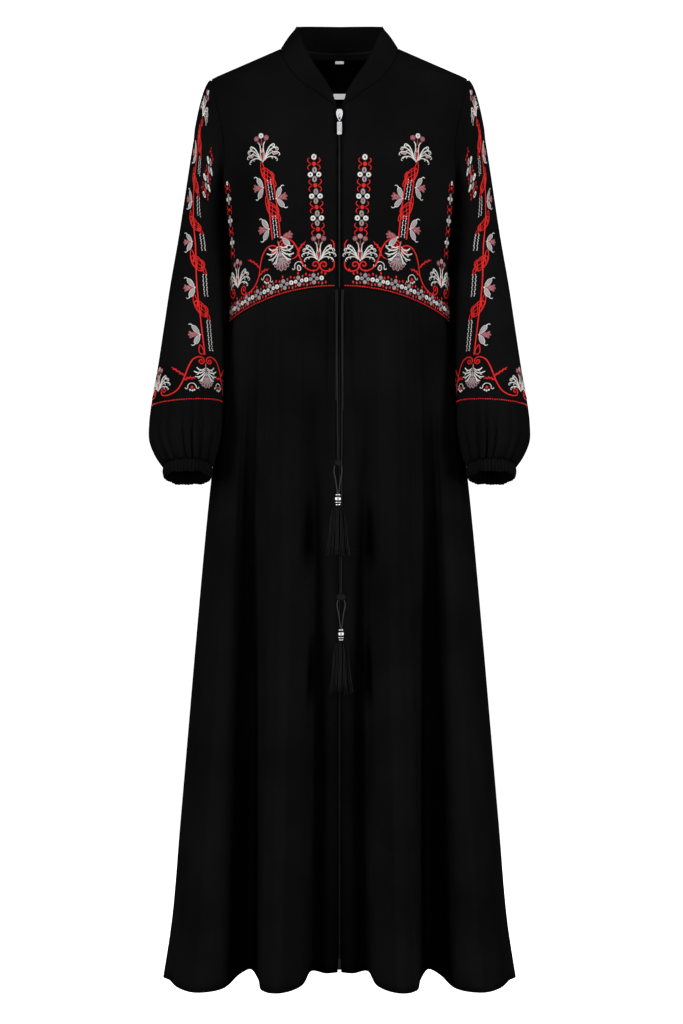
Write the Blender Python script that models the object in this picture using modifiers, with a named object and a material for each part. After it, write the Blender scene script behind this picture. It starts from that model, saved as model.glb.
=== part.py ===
"""Abaya cloak, size 56: empire-seam bodice, folded A-line skirt, bishop sleeves.

Units are metres, +Z up, the wearer faces -Y and +X is to the right of someone
who looks at the front. The origin is the middle of the neck at the height of
the shoulders, where the wearer holds the garment up. Every cloth piece is a
wall between an outer grid of points and the same grid moved inwards.
"""

import math
from collections import namedtuple

import bmesh
import bpy
import numpy as np
from mathutils import Matrix, Vector

COLLECTION = "abaya_cloak"

# Cloth
CLOTH = 0.0016           # wall of the crepe, seam allowances included
SEAM_GAP = 0.0004        # clear space between sewn pieces
LAID_GAP = 0.0005        # clear space under what lies on a panel
TRIM = 0.0010            # wall of tapes and labels

# Cut of the bodice
SHOULDER_TIP = (0.193, -0.035)      # x, z
NECK_SIDE = (0.089, 0.010)          # x, z
UNDERARM_Z = -0.235
SEAM_CENTRE_Z = -0.360              # empire seam at the centre front
SEAM_SIDE_Z = -0.404                # and at the side seams and back
SEAM_CURVE = 2.2                    # how late the empire seam drops towards the side
NECK_BACK_Z = 0.016
FRONT_BITE = math.radians(23.0)     # how far the armhole cuts into the front
BACK_BITE = math.radians(18.0)
BITE_ROUND = 0.7
EDGE_HALF = 0.0045                  # half of the opening that the zip fills

# Grid of the bodice
SIDE_ROWS = 2
ARMHOLE_ROWS = 10
SHOULDER_ROWS = 2
HALF_COLS = 10

Section = namedtuple("Section", "z half_width front back")
TORSO = (
    Section(-0.430, 0.1662, 0.1110, 0.1035),
    Section(-0.404, 0.1660, 0.1112, 0.1040),
    Section(-0.350, 0.1665, 0.1135, 0.1060),
    Section(-0.290, 0.1690, 0.1230, 0.1130),
    Section(-0.235, 0.1760, 0.1270, 0.1190),
    Section(-0.180, 0.1830, 0.1220, 0.1220),
    Section(-0.120, 0.1890, 0.1090, 0.1200),
    Section(-0.070, 0.1922, 0.0950, 0.1120),
    Section(-0.035, 0.1930, 0.0840, 0.1000),
    Section(0.010, 0.0890, 0.0620, 0.0720),
    Section(0.030, 0.0430, 0.0520, 0.0600),
)

NeckPoint = namedtuple("NeckPoint", "x z")
NECKLINE = (
    NeckPoint(0.0045, -0.0915),
    NeckPoint(0.0213, -0.0800),
    NeckPoint(0.0350, -0.0680),
    NeckPoint(0.0530, -0.0560),
    NeckPoint(0.0692, -0.0386),
    NeckPoint(0.0838, -0.0129),
    NeckPoint(*NECK_SIDE),
)

# Free edge of the stand collar against the share of the neckline walked:
# 0 is the centre front, 1 the side of the neck, 2 the centre back.
CollarEdge = namedtuple("CollarEdge", "share x y z")
COLLAR_EDGE = (
    CollarEdge(0.00, 0.0095, -0.0985, -0.0720),
    CollarEdge(0.11, 0.0190, -0.0930, -0.0545),
    CollarEdge(0.21, 0.0270, -0.0860, -0.0415),
    CollarEdge(0.33, 0.0350, -0.0780, -0.0290),
    CollarEdge(0.47, 0.0430, -0.0670, -0.0140),
    CollarEdge(0.67, 0.0530, -0.0480, 0.0090),
    CollarEdge(0.83, 0.0600, -0.0300, 0.0290),
    CollarEdge(1.00, 0.0645, -0.0080, 0.0430),
    CollarEdge(1.25, 0.0630, 0.0200, 0.0495),
    CollarEdge(1.50, 0.0500, 0.0420, 0.0545),
    CollarEdge(1.75, 0.0270, 0.0570, 0.0575),
    CollarEdge(2.00, 0.0000, 0.0610, 0.0580),
)
COLLAR_ROWS = 3
COLLAR_BELLY = 0.0018

# Skirt: where each fold line starts round the empire seam, in degrees from the
# centre front, and where it meets the hem. Crests and valleys alternate.
# swell widens a crest (over 1) or narrows a valley, cols is the grid's share.
Fold = namedtuple("Fold", "angle x y z swell cols")
FOLDS = (
    Fold(0.0, 0.0000, -0.088, -1.370, 1.0, 2),
    Fold(11.0, 0.0340, -0.093, -1.371, 1.0, 4),
    Fold(25.0, 0.0820, -0.168, -1.383, 1.5, 4),
    Fold(36.0, 0.1165, -0.132, -1.383, 1.1, 3),
    Fold(42.0, 0.1240, -0.064, -1.376, 0.9, 3),
    Fold(51.0, 0.1590, -0.078, -1.379, 0.9, 4),
    Fold(64.0, 0.1900, -0.132, -1.386, 1.5, 4),
    Fold(74.0, 0.2220, -0.090, -1.386, 1.1, 3),
    Fold(80.0, 0.2100, -0.034, -1.381, 0.9, 4),
    Fold(92.0, 0.2640, 0.008, -1.390, 1.5, 4),
    Fold(104.0, 0.2060, 0.050, -1.382, 0.7, 4),
    Fold(117.0, 0.2120, 0.118, -1.386, 1.6, 4),
    Fold(131.0, 0.1500, 0.094, -1.380, 0.7, 4),
    Fold(146.0, 0.1200, 0.170, -1.386, 1.6, 4),
    Fold(160.0, 0.0700, 0.112, -1.380, 0.7, 3),
    Fold(170.0, 0.0380, 0.158, -1.385, 1.2, 3),
    Fold(180.0, 0.0000, 0.176, -1.386, 1.3, 3),
)
SIDE_SEAM_FOLD = 9       # row of FOLDS that carries the side seam
SKIRT_ROWS = (0.0, 0.06, 0.15, 0.27, 0.41, 0.56, 0.71, 0.86, 1.0)
Spread = namedtuple("Spread", "down out")
SPREAD = (               # share of the flare reached against share of the length
    Spread(0.00, 0.00),
    Spread(0.26, 0.30),
    Spread(0.51, 0.53),
    Spread(0.78, 0.77),
    Spread(0.93, 0.90),
    Spread(1.00, 1.00),
)

# Sleeve: rings of the tube below the set-in head
Ring = namedtuple("Ring", "z x_in x_out y half_depth tilt gather")
SLEEVE = (
    Ring(-0.290, 0.1745, 0.2455, 0.000, 0.057, 2.0, 0.0000),
    Ring(-0.350, 0.1755, 0.2560, -0.006, 0.057, 4.0, 0.0000),
    Ring(-0.410, 0.1780, 0.2640, -0.018, 0.055, 6.0, 0.0000),
    Ring(-0.470, 0.1790, 0.2715, -0.036, 0.054, 8.0, 0.0000),
    Ring(-0.525, 0.1790, 0.2790, -0.054, 0.054, 9.0, 0.0006),
    Ring(-0.560, 0.1780, 0.2807, -0.066, 0.053, 12.0, 0.0014),
    Ring(-0.585, 0.1795, 0.2785, -0.074, 0.050, 14.0, 0.0022),
    Ring(-0.607, 0.1845, 0.2690, -0.081, 0.042, 16.0, 0.0028),
    Ring(-0.621, 0.1890, 0.2590, -0.085, 0.033, 18.0, 0.0020),
)
SPLIT_RING = 4           # from this ring on the sleeve has twice the columns
HEAD_STEPS = (0.0, 0.09, 0.26, 0.58)       # rings of the sleeve head
HEAD_RISE = 0.068        # pull of the head at the shoulder tip
HEAD_UNDER = 0.026       # and at the underarm
HEAD_TILT = 1.2          # how far the head leaves the armhole sideways
CUFF_LENGTH = 0.0190
CUFF_STEPS = (0.45, 1.0)                   # rings of the cuff below its seam
CUFF_RIB = 0.0013
CUFF_BULGE = 0.0016
CUFF_DRAW = 0.0010       # how much tighter than the sleeve's end the elastic is

# Zip
TAPE_IN = 0.0019
TAPE_OUT = 0.0105
CHAIN_HALF = 0.0015
CHAIN_DEPTH = 0.0018
TAPE_TOP_Z = -0.0930
TAPE_END_Z = -1.362
CHAIN_TOP_Z = -0.1124
CHAIN_END_Z = -1.350
ROW_CLEAR = 0.004        # least height of a tape's first and last row

# Zip slider and its pull
SLIDER_TOP_Z = -0.0978
SLIDER_LENGTH = 0.0140
SLIDER_TOP_HALF = 0.0052
SLIDER_NECK_HALF = 0.0042
SLIDER_END_HALF = 0.0036
SLIDER_SHOULDER = 0.0040     # from the top down to the widest place
SLIDER_PLATE = 0.0014
SLIDER_GAP = 0.0004
STEM_HALF = 0.0034           # the slider's body between the front edges
STEM_DEPTH = 0.0028
STEM_ROUND = 0.0012
STEM_DROP = 0.0010
CROWN_WIRE = 0.0008
CROWN_RISE = 0.0048
CROWN_HALF = 0.0030
CROWN_DROP = 0.0105          # from the slider's top down to the middle of the crown
LINK_RADIUS = 0.0028
LINK_NARROW = 0.72           # width of the link against a round ring
LINK_WIRE = 0.00055
LINK_LENGTH = 0.0074         # between the two hinges of the link
LINK_RAISE = 0.0003          # the link hangs this much above the crown's middle
PULL_CLEAR = 0.00025         # clearance between two wires
PULL_LEAN = math.radians(12.0)   # the pull lies along the front, which slopes outwards
EYE_RADIUS = 0.0019
EYE_WIRE = 0.0005
TAB_LENGTH = 0.0198
TAB_HALF = 0.0038
TAB_THICK = 0.0014
TAB_ROUND = 0.0012
RING_SIDES = (16, 6)         # round a wire ring, and round its wire

# Waist ties
TIE = 0.0021             # diameter of the cord
TUBE_STEP = 0.0130       # length between two points of a hanging cord
TUBE_LEAST = 7           # points of the shortest cord
TieSpec = namedtuple("TieSpec", "side x exit_z knot_z bead_z tassel_z hem_z")
TIES = (
    TieSpec("upper", -0.0030, -0.3640, -0.6170, -0.6629, -0.6796, -0.7537),
    TieSpec("lower", 0.0034, -0.3640, -0.8130, -0.8602, -0.8770, -0.9540),
)
TIE_Y = -0.1205          # where the ties hang, clear of the skirt
TASSEL_Y = -0.1330       # the upper tassel hangs before the lower tie
TIE_TUCK = 0.0015        # how far back a tie leaves the seam
Hang = namedtuple("Hang", "down side fore")
TIE_PATH = (             # share of the drop, of the tie's x and of the way to the knot's depth
    Hang(0.08, 1.00, 0.0),
    Hang(0.25, 1.15, 0.0),
    Hang(0.60, 0.95, 0.5),
    Hang(0.90, 0.80, 1.0),
    Hang(1.00, 0.70, 1.0),
)
TailSpec = namedtuple("TailSpec", "side end_z")
TAILS = (TailSpec(-1, -0.5250), TailSpec(1, -0.5390))   # side of its tie, z of its end
TAIL_PATH = (0.02, 0.09)     # drops of the tail's middle points
TAIL_GAP = 0.0009
CORD_GAP = 0.0003        # clear space between a cord and what it ends at
KNOT_HALF = 0.0044
KNOT_SHAPE = (1.0, 0.75, 0.9)
LOOP = 0.0017            # diameter of the two strands of a bead's loop
LOOP_START = 0.0022      # half spread of the strands at the knot
LOOP_WIDE = 0.0042
LOOP_MIDDLE = 0.0030
LOOP_END = 0.0012
LOOP_WIDE_DROP = 0.006
BEAD_RADIUS = 0.0056
BEAD_GROOVE = 0.0045
BEAD_RIBS = 5
TURNS = 12               # sides of turned pieces
STRANDS = 30
STRAND = 0.0011
STRAND_SIDES = 3
STRAND_ROOT = 0.52       # thickness of a strand's root against its end
STRAND_STEPS = (0.0, 0.35, 1.0)
STRAND_BEND = 0.8        # how early the strands spread
TASSEL_CROWN = 0.0036
TASSEL_TOP = 0.0046
TASSEL_SHOULDER = 0.0015
TASSEL_NECK = 0.0058
TASSEL_FLARE = 0.0165
TASSEL_HEAD = 0.0060
ROOT_IN = 0.86           # share of the head's radius that the roots fill
ROOT_UP = 0.75           # share of the head's height at which they start

# Inside of the back neck
Strip = namedtuple("Strip", "name width height top_z cols")
INSIDE_STRIPS = (
    Strip("neck_tape", 0.096, 0.0050, 0.0146, 11),
    Strip("size_label", 0.018, 0.0078, 0.0088, 5),
    Strip("plain_label", 0.050, 0.0080, -0.0375, 5),
)

BLACK = (0.012, 0.012, 0.013, 1.0)
TRIM_BLACK = (0.02, 0.02, 0.022, 1.0)
SILVER = (0.75, 0.75, 0.77, 1.0)
WHITE = (0.85, 0.85, 0.84, 1.0)


# ---------------------------------------------------------------- numbers

def column(table, name):
    """One named column of a table as an array."""
    return np.array([getattr(row, name) for row in table], dtype=float)


def smooth(knots, values, x, swell=1.0):
    """Cubic curve through the knots of a short table, read at x.

    swell scales the curve's slope at each knot.
    """
    x = np.clip(np.asarray(x, dtype=float), knots[0], knots[-1])
    slopes = np.gradient(values, knots) * swell
    k = np.clip(np.searchsorted(knots, x, side="right") - 1, 0, len(knots) - 2)
    step = knots[k + 1] - knots[k]
    f = (x - knots[k]) / step
    ease = f * f * (3.0 - 2.0 * f)
    leave = f * (1.0 - f) ** 2 * step * slopes[k]
    arrive = f * f * (1.0 - f) * step * slopes[k + 1]
    return values[k] + ease * (values[k + 1] - values[k]) + leave - arrive


def unit(vectors):
    """Vectors scaled to length one along the last axis."""
    size = np.linalg.norm(vectors, axis=-1, keepdims=True)
    return vectors / np.maximum(size, 1e-12)


def mirrored(points):
    """The same points on the other side of the centre plane."""
    return points * np.array([-1.0, 1.0, 1.0])


def grid_normals(grid, wrap):
    """Normals of a grid (rows, cols, 3) that goes round the body, facing away from it."""
    if wrap:
        along = np.roll(grid, -1, axis=1) - np.roll(grid, 1, axis=1)
    else:
        along = np.gradient(grid, axis=1)
    normals = unit(np.cross(np.gradient(grid, axis=0), along))
    middle = grid.mean(axis=1, keepdims=True)
    return normals * np.sign(np.sum(normals * (grid - middle)))


# ---------------------------------------------------------------- torso form

def half_width(z):
    """Half-width of the torso at height z: straight along the shoulder, curved below."""
    z = np.asarray(z, dtype=float)
    tip_x, tip_z = SHOULDER_TIP
    neck_x, neck_z = NECK_SIDE
    slope = (neck_x - tip_x) / (neck_z - tip_z)
    body = [row for row in TORSO if row.z <= tip_z]
    below = smooth(column(body, "z"), column(body, "half_width"), z)
    return np.where(z > tip_z, tip_x + slope * (z - tip_z), below)


def depth(z, back):
    """Depth of the torso before (or behind) the side plane at height z."""
    return smooth(column(TORSO, "z"), column(TORSO, "back" if back else "front"), z)


def torso(x, z, back):
    """Point of the torso surface above x, z of the front view."""
    reach = np.clip(np.abs(x) / half_width(z), 0.0, 1.0)
    y = depth(z, back) * np.sqrt(1.0 - reach ** 2)
    return np.stack([x, y if back else -y, z], axis=-1)


def torso_normals(points, back):
    """Outward normals of the elliptic torso sections, with their slope in z."""
    x, y, z = points[..., 0], points[..., 1], points[..., 2]
    step = 0.004
    a = half_width(z)
    b = depth(z, back)
    a_slope = (half_width(z + step) - half_width(z - step)) / (2.0 * step)
    b_slope = (depth(z + step, back) - depth(z - step, back)) / (2.0 * step)
    rise = -(x ** 2) * a_slope / a ** 3 - (y ** 2) * b_slope / b ** 3
    return unit(np.stack([x / a ** 2, y / b ** 2, rise], axis=-1))


def column_warp():
    """Shares of the half panel's width, closer together towards the side."""
    return np.sin(np.linspace(0.0, math.pi / 2.0, HALF_COLS + 1))


def empire_z(angle, back):
    """Height of the empire seam at an angle (radians) from the centre."""
    if back:
        return np.full_like(angle, SEAM_SIDE_Z)
    drop = np.abs(np.sin(angle)) ** SEAM_CURVE
    return SEAM_CENTRE_Z + (SEAM_SIDE_Z - SEAM_CENTRE_Z) * drop


def armhole_side(back):
    """Front-view points of the armhole from the underarm to the shoulder tip."""
    share = (1.0 - np.cos(np.linspace(0.0, math.pi, ARMHOLE_ROWS + 1))) / 2.0
    z = UNDERARM_Z + (SHOULDER_TIP[1] - UNDERARM_Z) * share
    bite = (BACK_BITE if back else FRONT_BITE) * np.sin(math.pi * share) ** BITE_ROUND
    return np.stack([half_width(z) * np.cos(bite), z], axis=-1)


def outer_boundary(back):
    """Side seam, armhole and shoulder seam of a half panel, from the bottom up."""
    z = np.linspace(SEAM_SIDE_Z, UNDERARM_Z, SIDE_ROWS + 1)[:-1]
    side = np.stack([half_width(z), z], axis=-1)
    shoulder = np.linspace(SHOULDER_TIP, NECK_SIDE, SHOULDER_ROWS + 1)[1:]
    return np.concatenate([side, armhole_side(back), shoulder])


def neck_boundary(back):
    """Front-view points of the neckline at the panel's columns, centre to side."""
    if back:
        x = NECK_SIDE[0] * column_warp()
        rise = 1.0 - column_warp() ** 2
        return np.stack([x, NECK_SIDE[1] + (NECK_BACK_Z - NECK_SIDE[1]) * rise], axis=-1)
    share = np.linspace(0.0, 1.0, 200)
    rows = np.linspace(0.0, 1.0, len(NECKLINE))
    x = smooth(rows, column(NECKLINE, "x"), share)
    z = smooth(rows, column(NECKLINE, "z"), share)
    z[-1] = NECK_SIDE[1]
    steps = np.linalg.norm(np.diff(torso(x, z, False), axis=0), axis=1)
    walked = np.concatenate([[0.0], np.cumsum(steps)])
    want = column_warp() * walked[-1]
    return np.stack([np.interp(want, walked, x), np.interp(want, walked, z)], axis=-1)


def half_panel(back):
    """Outer grid of the +X half of the front or back bodice, rows from the bottom up.

    The front view of the panel is a Coons patch between its four edges, and
    its depth comes from the torso form.
    """
    start = 0.0 if back else EDGE_HALF
    right = outer_boundary(back)
    top = neck_boundary(back)
    rows = len(right)
    across = column_warp()
    bottom_x = start + (half_width(SEAM_SIDE_Z) - start) * across
    bottom_angle = np.arcsin(np.clip(bottom_x / half_width(SEAM_SIDE_Z), 0.0, 1.0))
    bottom = np.stack([bottom_x, empire_z(bottom_angle, back)], axis=-1)
    up = np.linspace(0.0, 1.0, rows)
    left = np.stack([np.full(rows, start), bottom[0, 1] + (top[0, 1] - bottom[0, 1]) * up], -1)
    s = across[None, :, None]
    t = up[:, None, None]
    flat = (1 - s) * left[:, None] + s * right[:, None] + (1 - t) * bottom[None] + t * top[None]
    flat -= (1 - s) * (1 - t) * bottom[0] + s * (1 - t) * bottom[-1]
    flat -= (1 - s) * t * top[0] + s * t * top[-1]
    return torso(flat[..., 0], flat[..., 1], back)


def bodice_panel(back):
    """Outer and inner grids of one half panel, drawn in at its seams."""
    outer = half_panel(back)
    inner = outer - CLOTH * torso_normals(outer, back)
    return outer, inner


def drawn_in(grid, guide, edge):
    """A copy of grid whose edge row or column is half a seam gap inside the panel."""
    grid = grid.copy()
    index = {"bottom": (0, 1), "top": (-1, -2)}.get(edge)
    if index:
        grid[index[0]] += SEAM_GAP / 2.0 * unit(guide[index[1]] - guide[index[0]])
        return grid
    first, second = {"left": (0, 1), "right": (-1, -2)}[edge]
    grid[:, first] += SEAM_GAP / 2.0 * unit(guide[:, second] - guide[:, first])
    return grid


# ---------------------------------------------------------------- meshes

def ring_faces(upper, lower, n_upper, n_lower, wrap):
    """Faces between two rows of points, the lower one with as many or twice as many."""
    faces = []
    spans = n_upper if wrap else n_upper - 1
    for k in range(spans):
        a = upper + k
        b = upper + (k + 1) % n_upper
        if n_lower == n_upper:
            faces.append((a, lower + k, lower + (k + 1) % n_lower, b))
            continue
        c, d, e = (lower + (2 * k + j) % n_lower for j in range(3))
        faces += [(a, c, d), (a, d, b), (b, d, e)]
    return faces


def wall_mesh(name, outer, inner, wrap):
    """Closed wall between outer and inner rows of points, seen with rows running down.

    outer and inner are lists of (cols, 3) arrays; a row may have twice as many
    columns as the row above it.
    """
    sizes = [len(row) for row in outer]
    starts = np.concatenate([[0], np.cumsum(sizes)])
    total = int(starts[-1])
    points = np.concatenate(list(outer) + list(inner))
    faces = []
    for k in range(len(sizes) - 1):
        strip = ring_faces(int(starts[k]), int(starts[k + 1]), sizes[k], sizes[k + 1], wrap)
        faces += strip
        faces += [tuple(total + v for v in face[:1] + face[:0:-1]) for face in strip]
    for k in (0, len(sizes) - 1):
        base = int(starts[k])
        count = sizes[k]
        for j in range(count if wrap else count - 1):
            a, b = base + j, base + (j + 1) % count
            rim = (b, total + b, total + a, a)
            faces.append(rim if k == 0 else tuple(reversed(rim)))
    if not wrap:
        for k in range(len(sizes) - 1):
            a, b = int(starts[k]), int(starts[k + 1])
            faces.append((a, total + a, total + b, b))
            a, b = int(starts[k + 1]) - 1, int(starts[k + 2]) - 1
            faces.append((b, total + b, total + a, a))
    mesh = bpy.data.meshes.new(name)
    mesh.from_pydata(points.tolist(), [], faces)
    return mesh


def add_object(name, mesh, material, smooth_shade=True):
    """Put a mesh in the garment's collection, with its normals made to face out."""
    work = bmesh.new()
    work.from_mesh(mesh)
    bmesh.ops.recalc_face_normals(work, faces=work.faces)
    work.to_mesh(mesh)
    work.free()
    obj = bpy.data.objects.new(name, mesh)
    bpy.data.collections[COLLECTION].objects.link(obj)
    mesh.materials.append(material)
    if smooth_shade:
        mesh.shade_smooth()
    return obj


def material(name, color, roughness, metallic=0.0):
    """A Principled material."""
    made = bpy.data.materials.new(name)
    made.use_nodes = True
    shader = made.node_tree.nodes["Principled BSDF"]
    shader.inputs["Base Color"].default_value = color
    shader.inputs["Roughness"].default_value = roughness
    shader.inputs["Metallic"].default_value = metallic
    return made


def cloth(name):
    """The black crepe of one piece."""
    return material("mat_" + name, BLACK, 0.75)


# ---------------------------------------------------------------- bodice

def make_bodice():
    """Left and right fronts and the one-piece back."""
    outer, inner = bodice_panel(back=False)
    for edge in ("bottom", "right"):
        outer, inner = (drawn_in(g, outer, edge) for g in (outer, inner))
    for side, flip in (("left", True), ("right", False)):
        rows = [mirrored(g) if flip else g for g in (outer, inner)]
        name = "bodice_front_" + side
        add_object(name, wall_mesh(name, list(rows[0]), list(rows[1]), False), cloth(name))
    outer, inner = bodice_panel(back=True)
    for edge in ("bottom", "right"):
        outer, inner = (drawn_in(g, outer, edge) for g in (outer, inner))
    full = [np.concatenate([mirrored(g)[:, :0:-1], g], axis=1) for g in (outer, inner)]
    add_object("bodice_back", wall_mesh("bodice_back", list(full[0]), list(full[1]), False),
               cloth("bodice_back"))


def neck_edge():
    """Outer and inner points of the whole neckline, left front round the back to right."""
    front = [g[-1] for g in bodice_panel(back=False)]
    back = [g[-1] for g in bodice_panel(back=True)]
    loops = []
    for f, b in zip(front, back):
        loops.append(np.concatenate([mirrored(f), mirrored(b)[-2::-1], b[1:], f[-2::-1]]))
    return loops


def make_collar():
    """Stand collar: rows of points from the neckline to its free edge."""
    seam_out, seam_in = neck_edge()
    warp = column_warp()
    share = np.concatenate([warp, 2.0 - warp[-2::-1]])
    knots = column(COLLAR_EDGE, "share")
    half = np.stack([smooth(knots, column(COLLAR_EDGE, c), share) for c in "xyz"], axis=-1)
    edge = np.concatenate([mirrored(half), half[-2::-1]])
    lift = unit(edge - seam_out) * SEAM_GAP
    rows_out, rows_in = [], []
    steps = np.linspace(0.0, 1.0, COLLAR_ROWS + 1)
    ruled = np.stack([seam_out + lift + (edge - seam_out - lift) * t for t in steps])
    normals = grid_normals(ruled, False)
    belly = COLLAR_BELLY * np.sin(math.pi * steps)[:, None, None]
    outer = ruled + belly * normals
    inner = outer - CLOTH * normals
    inner[0] = seam_in + lift
    for k in range(COLLAR_ROWS, -1, -1):
        rows_out.append(outer[k])
        rows_in.append(inner[k])
    add_object("collar", wall_mesh("collar", rows_out, rows_in, False), cloth("collar"))


# ---------------------------------------------------------------- skirt

def skirt_columns():
    """Fold table read round the whole skirt: seam angle and hem point of each column.

    Columns run from the centre front over +X to the back and on to the front
    again; the first and last columns are the two front edges.
    """
    before = [row._replace(angle=-row.angle, x=-row.x) for row in FOLDS[3:0:-1]]
    after = [row._replace(angle=360.0 - row.angle, x=-row.x) for row in FOLDS[-2:-5:-1]]
    rows = before + list(FOLDS) + after
    index = np.arange(len(rows), dtype=float) - len(before)
    places = []
    for k in range(len(FOLDS) - 1):
        places += list(k + np.arange(FOLDS[k].cols) / FOLDS[k].cols)
    places = np.array(places + [len(FOLDS) - 1.0])
    angle = np.radians(smooth(index, column(rows, "angle"), places))
    swell = column(rows, "swell")
    hem = np.stack([smooth(index, column(rows, c), places, swell) for c in "xyz"], axis=-1)
    angle = np.concatenate([angle, 2.0 * math.pi - angle[-2::-1]])
    hem = np.concatenate([hem, mirrored(hem)[-2::-1]])
    side = int(np.argmin(np.abs(places - SIDE_SEAM_FOLD)))
    return angle, hem, side


def bodice_seam_z(angle):
    """Height of the bodice's lower edge, straight between the bodice's own columns."""
    knots = np.arcsin(np.clip(column_warp(), 0.0, 1.0))
    turned = np.minimum(angle % (2.0 * math.pi), 2.0 * math.pi - angle % (2.0 * math.pi))
    front = np.interp(turned, knots, empire_z(knots, False))
    return np.where(turned <= math.pi / 2.0, front, SEAM_SIDE_Z)


def skirt_grid():
    """Outer points of the whole skirt: straight fold lines from the seam to the hem."""
    angle, hem, side = skirt_columns()
    seam_z = bodice_seam_z(angle) - SEAM_GAP
    front = np.cos(angle) > 0.0
    a = half_width(seam_z)
    b = np.where(front, depth(seam_z, False), depth(seam_z, True))
    seam = np.stack([a * np.sin(angle), -b * np.cos(angle), seam_z], axis=-1)
    down = np.array(SKIRT_ROWS)
    out = smooth(column(SPREAD, "down"), column(SPREAD, "out"), down)
    share = np.stack([out, out, down], axis=-1)[:, None, :]
    return seam[None] + share * (hem - seam)[None], side


def skirt_walls():
    """Outer and inner grids of the whole skirt."""
    outer = skirt_grid()[0]
    normals = grid_normals(outer, False)
    normals[:, 0] = normals[:, -1] = unit((normals[:, 0] + normals[:, -1]) * [0.0, 1.0, 1.0])
    return outer, outer - CLOTH * normals


def make_skirt():
    """Two fronts that meet the zip and a one-piece back."""
    outer, inner = skirt_walls()
    side = skirt_grid()[1]
    last = outer.shape[1] - 1
    spans = {
        "skirt_front_right": (0, side),
        "skirt_back": (side, last - side),
        "skirt_front_left": (last - side, last),
    }
    for name, (start, end) in spans.items():
        grids = [g[:, start:end + 1] for g in (outer, inner)]
        guide = grids[0]
        grids = [drawn_in(g, guide, "left") for g in grids]
        grids = [drawn_in(g, guide, "right") for g in grids]
        if start == 0:
            grids = [opened(g, 0, 1.0) for g in grids]
        if end == last:
            grids = [opened(g, -1, -1.0) for g in grids]
        add_object(name, wall_mesh(name, list(grids[0]), list(grids[1]), False), cloth(name))


def opened(grid, edge, sign):
    """Move a front edge sideways so that the zip shows between the two."""
    grid = grid.copy()
    grid[:, edge, 0] = sign * EDGE_HALF
    return grid


# ---------------------------------------------------------------- sleeves

def armhole_ring():
    """Outer and inner armhole points of the +X side and the way out of the armhole.

    The ring starts at the shoulder tip and runs down the front.
    """
    low = SIDE_ROWS
    high = SIDE_ROWS + ARMHOLE_ROWS
    pairs = []
    for g_front, g_back in zip(bodice_panel(False), bodice_panel(True)):
        front = g_front[low:high + 1, -1][::-1]
        back = g_back[low:high + 1, -1]
        pairs.append(np.concatenate([front, back[1:-1]]))
    outer, inner = pairs
    along = unit(np.roll(outer, -1, axis=0) - np.roll(outer, 1, axis=0))
    away = unit(np.cross(along, outer - inner))
    away *= np.sign(away[0, 0])
    return outer, inner, away


def tube_ring(z, count):
    """Points of the sleeve tube at height z of its axis, outer side first, then the front."""
    knots = -column(SLEEVE, "z")
    read = {c: float(smooth(knots, column(SLEEVE, c), -z)) for c in Ring._fields[1:]}
    turn = np.arange(count) * 2.0 * math.pi / count
    middle = np.array([(read["x_in"] + read["x_out"]) / 2.0, read["y"], z])
    reach = (read["x_out"] - read["x_in"]) / 2.0
    tilt = math.radians(read["tilt"])
    forward = np.array([0.0, -math.cos(tilt), math.sin(tilt)])
    wave = read["gather"] * np.cos(math.pi * np.arange(count)) if count > 2 * ARMHOLE_ROWS else 0.0
    across = (reach + wave) * np.cos(turn)
    fore = (read["half_depth"] + wave) * np.sin(turn)
    return middle + across[:, None] * np.array([1.0, 0.0, 0.0]) + fore[:, None] * forward


def sleeve_rows():
    """Outer and inner rows of the +X sleeve from the armhole to the cuff seam."""
    outer_arm, inner_arm, away = armhole_ring()
    count = len(outer_arm)
    turn = np.arange(count) * 2.0 * math.pi / count
    first = tube_ring(SLEEVE[0].z, count)
    second = tube_ring(SLEEVE[0].z - 0.01, count)
    start = outer_arm + SEAM_GAP * away
    pull = HEAD_UNDER + (HEAD_RISE - HEAD_UNDER) * (1.0 + np.cos(turn)) / 2.0
    leave = unit(away + np.array([HEAD_TILT, 0.0, 0.0])) * pull[:, None]
    length = np.linalg.norm(first - start, axis=1, keepdims=True)
    arrive = unit(second - first) * length
    rows = []
    for u in HEAD_STEPS:
        ease = u * u * (3.0 - 2.0 * u)
        rows.append(start + ease * (first - start) + u * (1 - u) ** 2 * leave
                    - u * u * (1 - u) * arrive)
    rows += [tube_ring(ring.z, count) for ring in SLEEVE[:SPLIT_RING + 1]]
    coarse = np.stack(rows)
    coarse_in = coarse - CLOTH * grid_normals(coarse, True)
    coarse_in[0] = inner_arm + SEAM_GAP * away
    fine = np.stack([doubled(coarse[-1])] + [tube_ring(r.z, 2 * count) for r in SLEEVE[SPLIT_RING + 1:]])
    fine_in = fine - CLOTH * grid_normals(fine, True)
    return list(coarse) + list(fine[1:]), list(coarse_in) + list(fine_in[1:])


def doubled(ring):
    """A ring with a point added in the middle of each side."""
    middle = (ring + np.roll(ring, -1, axis=0)) / 2.0
    return np.stack([ring, middle], axis=1).reshape(-1, 3)


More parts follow.
